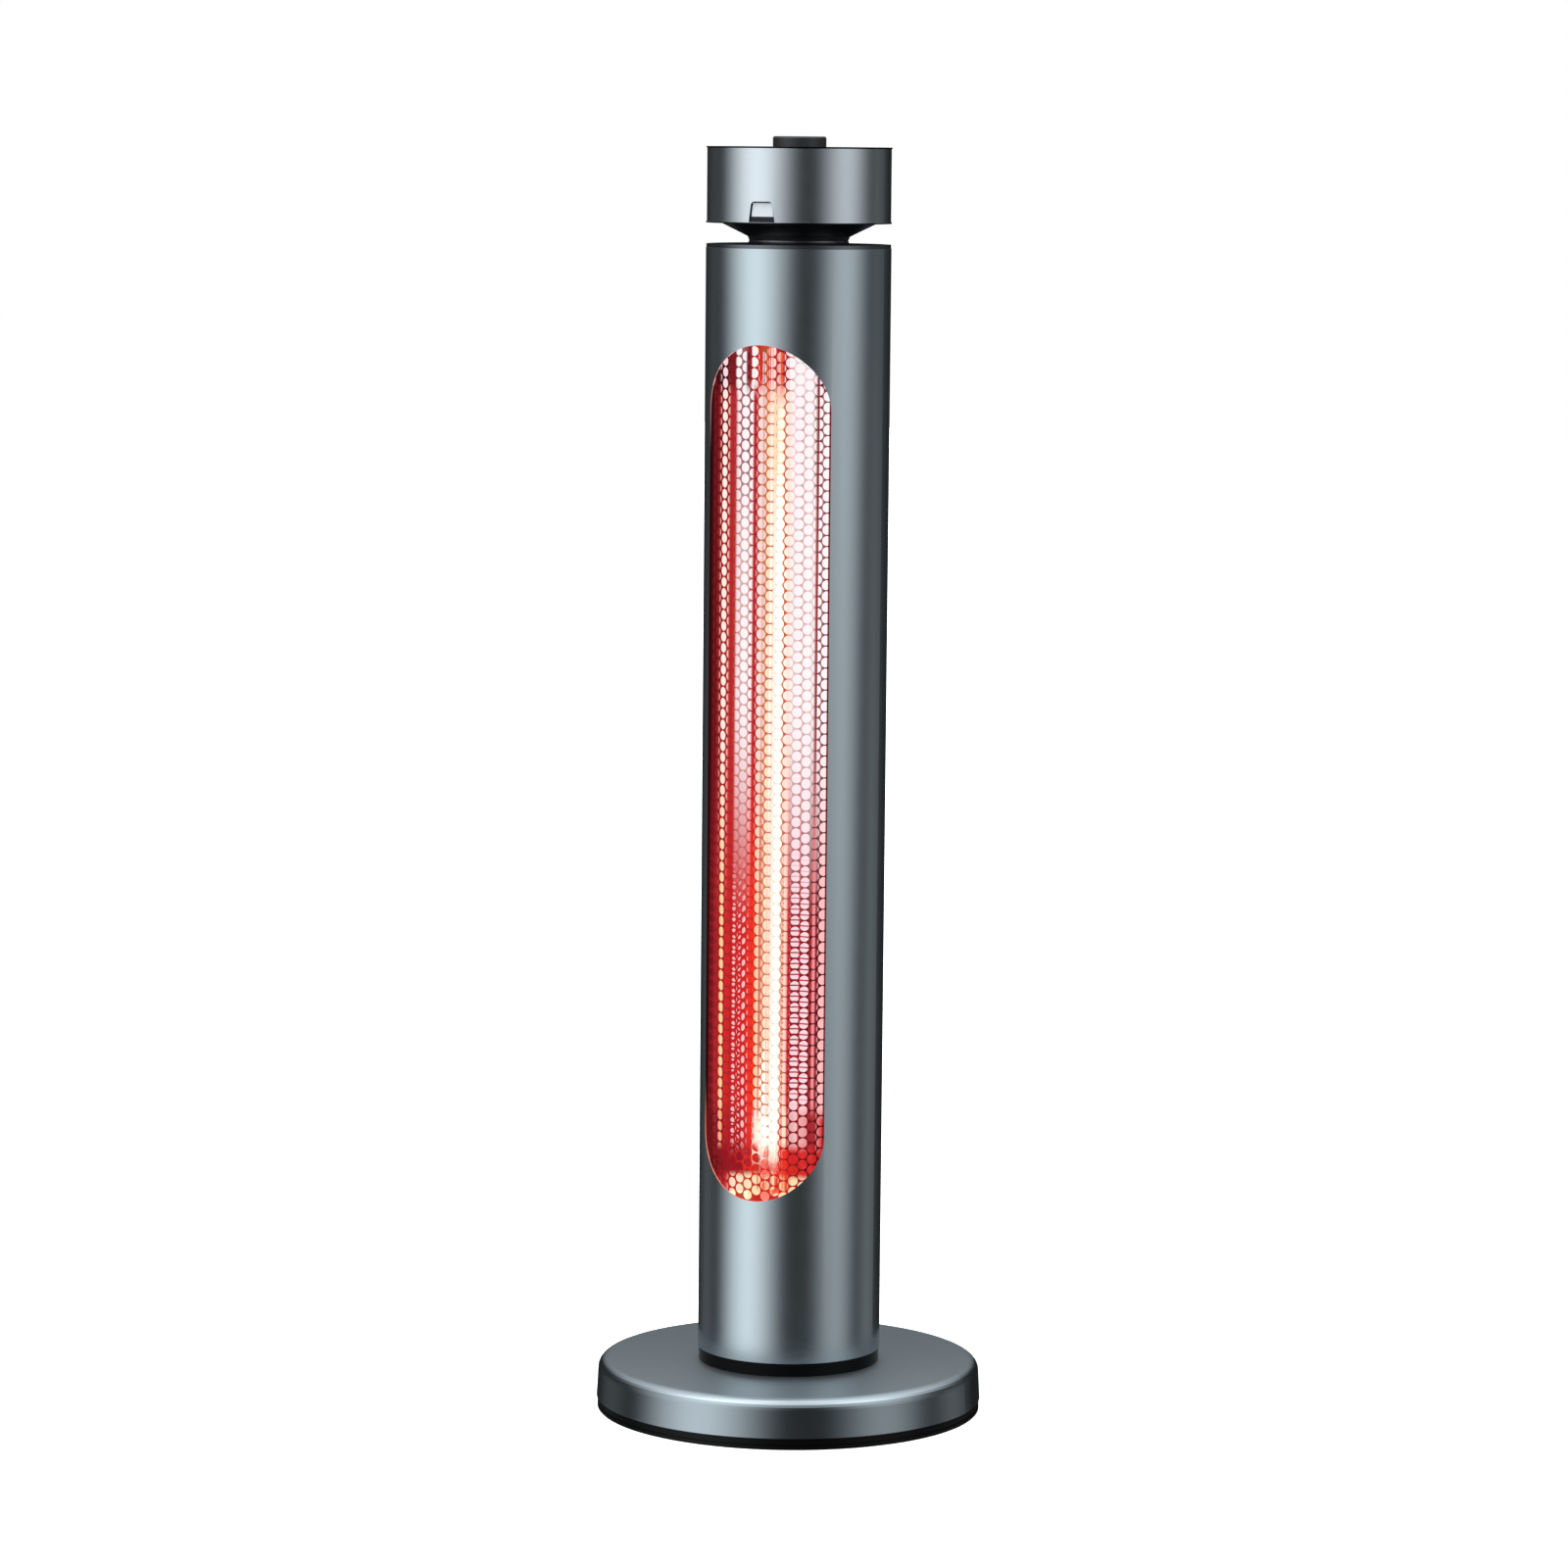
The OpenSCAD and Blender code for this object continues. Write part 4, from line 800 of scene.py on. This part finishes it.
# %% Painted reflection of the cells in the trough
DASH_PITCH, DASH_LEAN, DASH_SHIFT = 2.9 * MM, -0.36, 11.6
DASH_WIDTH, DASH_HEIGHT = 0.34, 0.32
DASH_EDGE, RUNG_EDGE = (1.5, 0.95), (0.17, 0.09)
DASH_START, DASH_SIDE = 0.175, ((-35.4 * MM, -34.6 * MM), (-25.2 * MM, -26.0 * MM))
RUNG_START, RUNG_SIDE = 0.208, ((5.2 * MM, 5.8 * MM), (20.6 * MM, 19.4 * MM))
ECHO_RISE, ECHO_END = 20 * MM, (0.40, 0.33)
GUARD_GAP = 40 * MM


def nearest(tree, value):
    """The whole number nearest to a value, and what is left: value = whole + rest."""
    whole = math_node(tree, "ROUND", value)
    return whole, minus(tree, value, whole)


def build_echo():
    """Group: Dashes and Rungs, masks of painted reflection over the trough; both fade out in its upper
    half.

    A dash is an ellipse, (off / width)^2 + (rise / height)^2 = 1, round a place of a leaning lattice.
    A rung lies where the camera sees it behind a half row of the guard: the trough stands GUARD_GAP
    behind the guard, so its height is stretched by that gap over the camera's distance.
    """
    tree, _, out = new_group("cell_echo", [], [("Dashes", FLOAT), ("Rungs", FLOAT)])
    x, y, z = axes(tree)
    column, off = nearest(tree, math_node(tree, "MULTIPLY_ADD", x, 1 / DASH_PITCH, DASH_SHIFT))
    leaning = times(tree, column, DASH_LEAN)
    _, rise = nearest(tree, math_node(tree, "MULTIPLY_ADD", z, 1 / CELL_PITCH, leaning))
    wide = math_node(tree, "POWER", times(tree, off, 1 / DASH_WIDTH), 2.0)
    tall = math_node(tree, "POWER", times(tree, rise, 1 / DASH_HEIGHT), 2.0)
    dash = smooth_rise(tree, math_node(tree, "ADD", wide, tall), *DASH_EDGE)
    depth = GUARD_GAP / CAM_DISTANCE
    middle = float(guard_low[2] + guard_high[2]) / 2
    half_rows = 2 / CELL_PITCH / (1 + depth)
    phase = (depth * CAM_HEIGHT - middle * (1 + depth)) * half_rows
    _, rung = nearest(tree, math_node(tree, "MULTIPLY_ADD", z, half_rows, phase))
    line = smooth_rise(tree, math_node(tree, "ABSOLUTE", rung), *RUNG_EDGE)
    for name, mask, side, start in (("Dashes", dash, DASH_SIDE, DASH_START),
                                    ("Rungs", line, RUNG_SIDE, RUNG_START)):
        place = times(tree, mask, span(tree, x, *side))
        height = span(tree, z, (start, start + ECHO_RISE), ECHO_END)
        tree.links.new(times(tree, place, height), out.inputs[name])
    return tree


# painted reflections of the guard's cells in the trough
cell_echo = build_echo()

# %% [markdown]
# What glows here is no lamp: it has almost no colour of its own, and gives off the painted light of
# its place. The guard and the trough use the bands. The end plates and the rails have one painted glow
# all over, and the lamp's ceramic ends are painted red in front of the tubes and orange beside them.

# %% Finishes with painted lamp light
def add_group(material, group):
    """A node in a material that shows a group."""
    node = material.node_tree.nodes.new("ShaderNodeGroup")
    node.node_tree = group
    return node


# the guard's glow is the lamp's painted light
guard_enamel_and_glow = finish("guard_enamel_and_glow", (0.006, 0.002, 0.002), 0.5, mottle=0.2, relief=0.1, ior=1.08)
glow(guard_enamel_and_glow, add_group(guard_enamel_and_glow, guard_bands).outputs["Color"], 0.97)
# the rails' red glow is painted lamp light
rail_black_and_glow = finish("rail_black_and_glow", (0.006, 0.001, 0.001), 0.5, relief=0.1, ior=1.08)
glow(rail_black_and_glow, (0.16, 0.008, 0.010))
# the end plates' glow is a painted reflection of the lamp
end_mirror = finish("polished_end_plate", (0.40, 0.34, 0.30), 0.15, metallic=1.0, mottle=0.1)
glow(end_mirror, (1.0, 0.78, 0.46), 0.95)

# %% Finish of the trough, with its painted reflection of the lamp
# the trough's red tint and its glow are painted lamp light
trough_mirror = finish("polished_trough", (0.06, 0.012, 0.012), 0.10, metallic=1.0, mottle=0.05, flake=0.03,
                       smear=0.06, relief=0.02)


def light_trough(material):
    """The painted reflection of the lamp on the trough: its bands, with the dashes and then the rungs laid
    over them.
    """
    tree = material.node_tree
    color = add_group(material, trough_bands).outputs["Color"]
    echo = add_group(material, cell_echo).outputs
    color = mix_colors(tree, echo["Dashes"], color, srgb(LAMP_TINTS["petal"]))
    glow(material, mix_colors(tree, echo["Rungs"], color, srgb(LAMP_TINTS["crimson"])))


light_trough(trough_mirror)

# %% Finish of the lamp's ends, with painted lamp light
LAMP_MIDDLE = 1.8 * MM
TUBE_HALVES = (5.6 * MM, 4.6 * MM)
lamp_lit_ceramic = finish("lamp_lit_ceramic", (0.5, 0.3, 0.24), 0.6, relief=0.1)


def light_ceramic(material):
    """Painted lamp light: red where |x - middle| is under the half width of the two tubes, and orange
    beyond it.
    """
    tree = material.node_tree
    off = math_node(tree, "ABSOLUTE", minus(tree, axes(tree)[0], LAMP_MIDDLE))
    red = smooth_rise(tree, off, *TUBE_HALVES)
    # painted lamp light on the ceramic ends
    glow(material, mix_colors(tree, red, (0.90, 0.62, 0.34), (0.66, 0.012, 0.016)))


light_ceramic(lamp_lit_ceramic)

# %% Guard piece
points, faces, per_layer = guard_parts()
faces += rim_walls(points, faces, per_layer)
guard = mesh_piece("honeycomb_guard", points, faces, guard_enamel_and_glow)
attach(guard, "column")
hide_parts("front_grille")

# %% [markdown]
# A filament is a wire wound in a fine helix. Its centre line is a function of one parameter, and a
# small circle is carried along it. The same function winds the springs under the button and at the
# floor plunger, with their own wire and turns. The plunger's spring stands between the base and the
# plunger.

# %% Wound wires
THINNEST = 0.12
UP = np.array([0.0, 0.0, 1.0])
NUDGE = 1e-4  # gives a path straight up a side too


def helix(centre, r, z0, z1, turns, steps, taper=0.0):
    """Points (r cos t, r sin t, z0 to z1) round a centre; the ends draw in to THINNEST r over the taper."""
    t = np.linspace(0, 2 * np.pi * turns, int(turns * steps) + 1)
    z = np.linspace(z0, z1, len(t))
    if taper > 0:
        r = r * np.clip(np.minimum(z - z0, z1 - z) / taper, THINNEST, 1.0)
    return np.stack([centre[0] + r * np.cos(t), centre[1] + r * np.sin(t), z], -1)


def wound(name, path, r, material, sides):
    """A closed tube round a path as one object: a ring of points at each place, turned square to it."""
    ahead = np.gradient(path, axis=0)
    ahead /= np.linalg.norm(ahead, axis=1)[:, None]
    level = np.cross(ahead, UP + NUDGE)
    level /= np.linalg.norm(level, axis=1)[:, None]
    other = np.cross(ahead, level)
    angle = np.linspace(0, 2 * np.pi, sides, endpoint=False)[None, :, None]
    grid = path[:, None] + r * (np.cos(angle) * level[:, None] + np.sin(angle) * other[:, None])
    count = len(path)
    faces = grid_faces(count, sides, wrap=True).tolist()
    faces += [list(range(sides))[::-1], list(range((count - 1) * sides, count * sides))]
    return mesh_piece(name, grid.reshape(-1, 3), faces, material, sharp=60)


# %% Filament glow
GLOW_START, GLOW_RISE = 34 * MM, 20 * MM
COOL_LEFT = (0.235, 0.275)


def hot_wire(side):
    """White-hot along its length and orange at both ends; the left one is cooler in its upper part."""
    material = finish("hot_wire_" + side, (0.3, 0.1, 0.05), 0.6, mottle=0.0, flake=0.0, relief=0.0)
    tree = material.node_tree
    x, y, z = axes(tree)
    low, high = low_high("filament_left")
    from_end = math_node(tree, "MINIMUM", minus(tree, z, float(low[2]) + GLOW_START),
                         minus(tree, float(high[2]) - GLOW_START, z))
    heat = times(tree, from_end, 1 / GLOW_RISE, clamp=True)
    hottest = (1.0, 0.93, 0.85)
    if side == "left":
        white = smooth_rise(tree, z, *COOL_LEFT, 1.0, 0.0)
        hottest = mix_colors(tree, white, (0.86, 0.66, 0.50), hottest)
    return glow(material, mix_colors(tree, heat, (0.80, 0.035, 0.012), hottest))


# %% Filaments
FILAMENT_WIRE = 0.45 * MM
COLD_LEAD = 34.5 * MM
COIL_PITCH, COIL_TAPER = 1.3 * MM, 14 * MM
wire_glow = {"left": hot_wire("left"), "right": hot_wire("right")}
for side in ("left", "right"):
    low, high = low_high("filament_" + side)
    centre = (low + high) / 2
    wire_r = (high[0] - low[0]) / 2 - FILAMENT_WIRE
    z0, z1 = low[2] + COLD_LEAD, high[2] - COLD_LEAD
    turns = round((high[2] - low[2] - 2 * COLD_LEAD) / COIL_PITCH)
    coil = helix(centre, wire_r, z0, z1, turns, steps=12, taper=COIL_TAPER)
    path = np.concatenate([[[centre[0], centre[1], low[2]]], coil, [[centre[0], centre[1], high[2]]]])
    piece = wound("filament_coil_" + side, path, FILAMENT_WIRE, wire_glow[side], sides=5)
    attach(piece, "column")
    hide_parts("filament_" + side)

# %% Springs
def spring(name, node, wire_r, turns):
    """A spring wound in the box of its node and flush with both ends of it."""
    low, high = low_high(node)
    r = (high[0] - low[0]) / 2 - wire_r
    path = helix((low + high) / 2, r, low[2] + wire_r, high[2] - wire_r, turns, steps=24)
    return wound(name, path, wire_r, zinc_steel, sides=8)


low, high = low_high("button_spring")
button_coil = spring("button_coil", "button_spring", 0.5 * MM, turns=6)
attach(button_coil, "column")
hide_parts("button_spring")
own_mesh(button_coil)

low, high = low_high("plunger_spring")
plunger_coil = spring("plunger_coil", "plunger_spring", 0.35 * MM, turns=4)
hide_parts("plunger_spring")
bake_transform(plunger_coil)

# %% [markdown]
# The leads are bundles of seven thin wires, one in the middle and six round it, laid with a slow twist.
# The path of a bundle is made of straights and quarter bends in one plane, so one side vector holds all
# along it, and the other is square to it and to the path.

# %% Bundles of leads
LEAD_WIRE = 0.98 * MM
LEAD_GAP = 2.02
LEAD_SIDES = 8
LEAD_STEP, LEAST_STEPS, BEND_STEPS = 3, 40, 12
TWIST = 12.0


def quarter(centre, start, end, r):
    """Points (centre + r cos a, centre + r sin a) in the plane of a bundle, from one angle to another."""
    a = np.radians(np.linspace(start, end, BEND_STEPS))
    return np.stack([centre[0] + r * np.cos(a), centre[1] + r * np.sin(a)], -1)


def lead_bundle(name, flat, plane, body, node):
    """Seven tubes along a path: wire k stands LEAD_GAP r off the middle at 60 k degrees plus the twist.

    flat holds (across, height) in mm; plane is the direction of across, and TWIST is in turns per metre.
    """
    gaps = np.linalg.norm(np.diff(flat, axis=0), axis=1)
    run = np.concatenate([[0], np.cumsum(gaps)])
    s = np.linspace(0, run[-1], max(LEAST_STEPS, int(run[-1] / LEAD_STEP)))
    across, z = np.interp(s, run, flat[:, 0]) * MM, np.interp(s, run, flat[:, 1]) * MM
    path = across[:, None] * plane + z[:, None] * UP
    ahead = np.gradient(path, axis=0)
    ahead /= np.linalg.norm(ahead, axis=1)[:, None]
    side = np.cross(plane, UP)
    other = np.cross(ahead, side)
    ring = np.linspace(0, 2 * np.pi, LEAD_SIDES, endpoint=False)[None, :, None]
    size = LEAD_SIDES * len(s)
    points, faces = [], []
    for k in range(7):
        turn = (2 * np.pi * s * MM * TWIST + k * np.pi / 3)[:, None]
        off = 0.0 if k == 6 else LEAD_GAP * LEAD_WIRE
        middle = path + off * (np.cos(turn) * side + np.sin(turn) * other)
        grid = middle[:, None] + LEAD_WIRE * (np.cos(ring) * side + np.sin(ring) * other[:, None])
        first = size * k
        points.append(grid.reshape(-1, 3))
        faces += grid_faces(len(s), LEAD_SIDES, start=first, wrap=True).tolist()
        faces.append(list(range(first, first + LEAD_SIDES))[::-1])
        faces.append(list(range(first + size - LEAD_SIDES, first + size)))
    piece = mesh_piece(name, np.concatenate(points), faces, sleeve_white)
    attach(piece, body)
    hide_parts(node)


# %% Loom and supply leads
BEND, SUPPLY_BEND = 23.9, 12
loom = np.concatenate([
    [[0, 60.4]], quarter((BEND, 87.2), 180, 90, BEND), quarter((BEND, 135), 270, 360, BEND),
    quarter((BEND, 750.2), 0, 90, BEND), quarter((BEND, 798.0), 270, 180, BEND), [[0, 827.2]]])
lead_bundle("loom_bundle", loom, np.array([0.0, 1.0, 0.0]), "column", "wiring_loom")
turn_up = quarter((SUPPLY_BEND, 29), 270, 180, SUPPLY_BEND)
supply = np.concatenate([[[33.7, 17]], turn_up, [[0, 56.6]]])
lead_bundle("supply_bundle", supply, np.array([1.0, 0.0, 0.0]), "base", "supply_leads")

# %% [markdown]
# The quartz envelope is clear glass with a ruby tint. It keeps its own mesh, and only its material
# changes: plain transmission, a little colour, and no relief, so that the wires show through it.

# %% Quartz
quartz = bpy.data.materials.new("ruby_quartz")
quartz.use_nodes = True
for label, value in (("Base Color", (1.0, 0.965, 0.93, 1)), ("Roughness", 0.02), ("IOR", 1.46),
                     ("Transmission Weight", 1.0)):
    quartz.node_tree.nodes["Principled BSDF"].inputs[label].default_value = value

# %% Painted glow of the lamp on the quartz
LAMP_TOP = (0.694, 0.702)
STRIPE_EDGE = 0.4 * MM
STRIPES = [  # filament, half width, and the heights between which it rises and falls
    ("right", 2.5 * MM, (0.171, 0.182), (0.66, 0.60)),
    ("left", 4.6 * MM, (0.183, 0.192), (0.214, 0.198)),
    ("left", 2.2 * MM, (0.178, 0.186), (0.262, 0.225)),
]


def build_lamp_glow():
    """Group: painted light of the filaments on the quartz: a white stripe along the right tube, and a
    white patch low on the left one.

    Each is a band round a centre line, |x - centre| under its half width, times a span of height.
    """
    tree, _, out = new_group("lamp_glow", [], [("Color", COLOR)])
    x, y, z = axes(tree)
    above = smooth_rise(tree, z, *LAMP_TOP)
    color = mix_colors(tree, above, (0.020, 0.008, 0.004), (0.03, 0.002, 0.001))
    for side, half, rise, fall in STRIPES:
        low, high = low_high("filament_" + side)
        off = math_node(tree, "ABSOLUTE", minus(tree, x, float(low[0] + high[0]) / 2))
        band = smooth_rise(tree, off, half + STRIPE_EDGE, half - STRIPE_EDGE)
        mask = times(tree, band, span(tree, z, rise, fall))
        color = mix_colors(tree, mask, color, (0.34, 0.28, 0.22))
    tree.links.new(color, out.inputs["Color"])
    return tree


# painted light of the filaments on the quartz
glow(quartz, add_group(quartz, build_lamp_glow()).outputs["Color"])

# %% [markdown]
# The parts that keep their own mesh only change their material: each takes the finish of the slot that
# the frame's record names for it, apart from the few that need one of their own.

# %% Finishes on the carried-over parts
slot_finish.update(quartz=quartz, guard_metal=guard_enamel_and_glow, mirror_sheet=trough_mirror,
                   filament=wire_glow["right"])
own_finish = {
    "tilt_switch": switch_black, "thermal_cutout": switch_black, "button_switch": switch_black,
    "side_rail_left": rail_black_and_glow, "side_rail_right": rail_black_and_glow,
    "reflector_bottom_plate": end_mirror, "reflector_top_plate": end_mirror,
    "lamp_base_lower": lamp_lit_ceramic, "lamp_base_upper": lamp_lit_ceramic, "neck": neck_black,
    "column_tube": tube_lacquer, "head_shell": head_lacquer, "base_cover": base_lacquer,
}
slot_of = {part["node"]: part["material_slot"] for part in frame["record"]["subparts"]}
for name, node in nodes.items():
    node.data.materials.clear()
    node.data.materials.append(own_finish[name] if name in own_finish else slot_finish[slot_of[name]])
print("finishes on", len(nodes), "parts")

# %% [markdown]
# The floor is a plain white sheet a long way across, so that its edge stays out of the picture. It
# shines a little by itself, which keeps it white up to the soft shadow under the base.

# %% Floor
FLOOR_SIZE = 24.0
PAPER_GLOW = 0.80


def add_floor():
    """A flat square under the base, bright enough to read as white studio paper."""
    half = FLOOR_SIZE / 2
    points = [(-half, -half, 0), (half, -half, 0), (half, half, 0), (-half, half, 0)]
    mesh = bpy.data.meshes.new("floor")
    mesh.from_pydata(points, [], [(0, 1, 2, 3)])
    floor = bpy.data.objects.new("floor", mesh)
    bpy.context.scene.collection.objects.link(floor)
    paper = finish("studio_paper", (0.86, 0.86, 0.86), 0.9, mottle=0.0, flake=0.0, smear=0.0,
                   relief=0.0)
    paper.node_tree.nodes["Principled BSDF"].inputs["Specular IOR Level"].default_value = 0.0
    mesh.materials.append(glow(paper, (1, 1, 1), PAPER_GLOW))
    floor.visible_glossy = False
    floor.visible_diffuse = False
    return floor


add_floor()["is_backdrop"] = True

# %% [markdown]
# Last come the sizes of the frame and of the dressed model, which have to agree, and the largest
# difference between them is printed.

# %% Size
low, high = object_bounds()
gaps = [abs(a - b) for a, b in zip([*low, *high], [*cad_low, *cad_high])]
print("largest difference in mm:", round(1000 * max(gaps), 3))
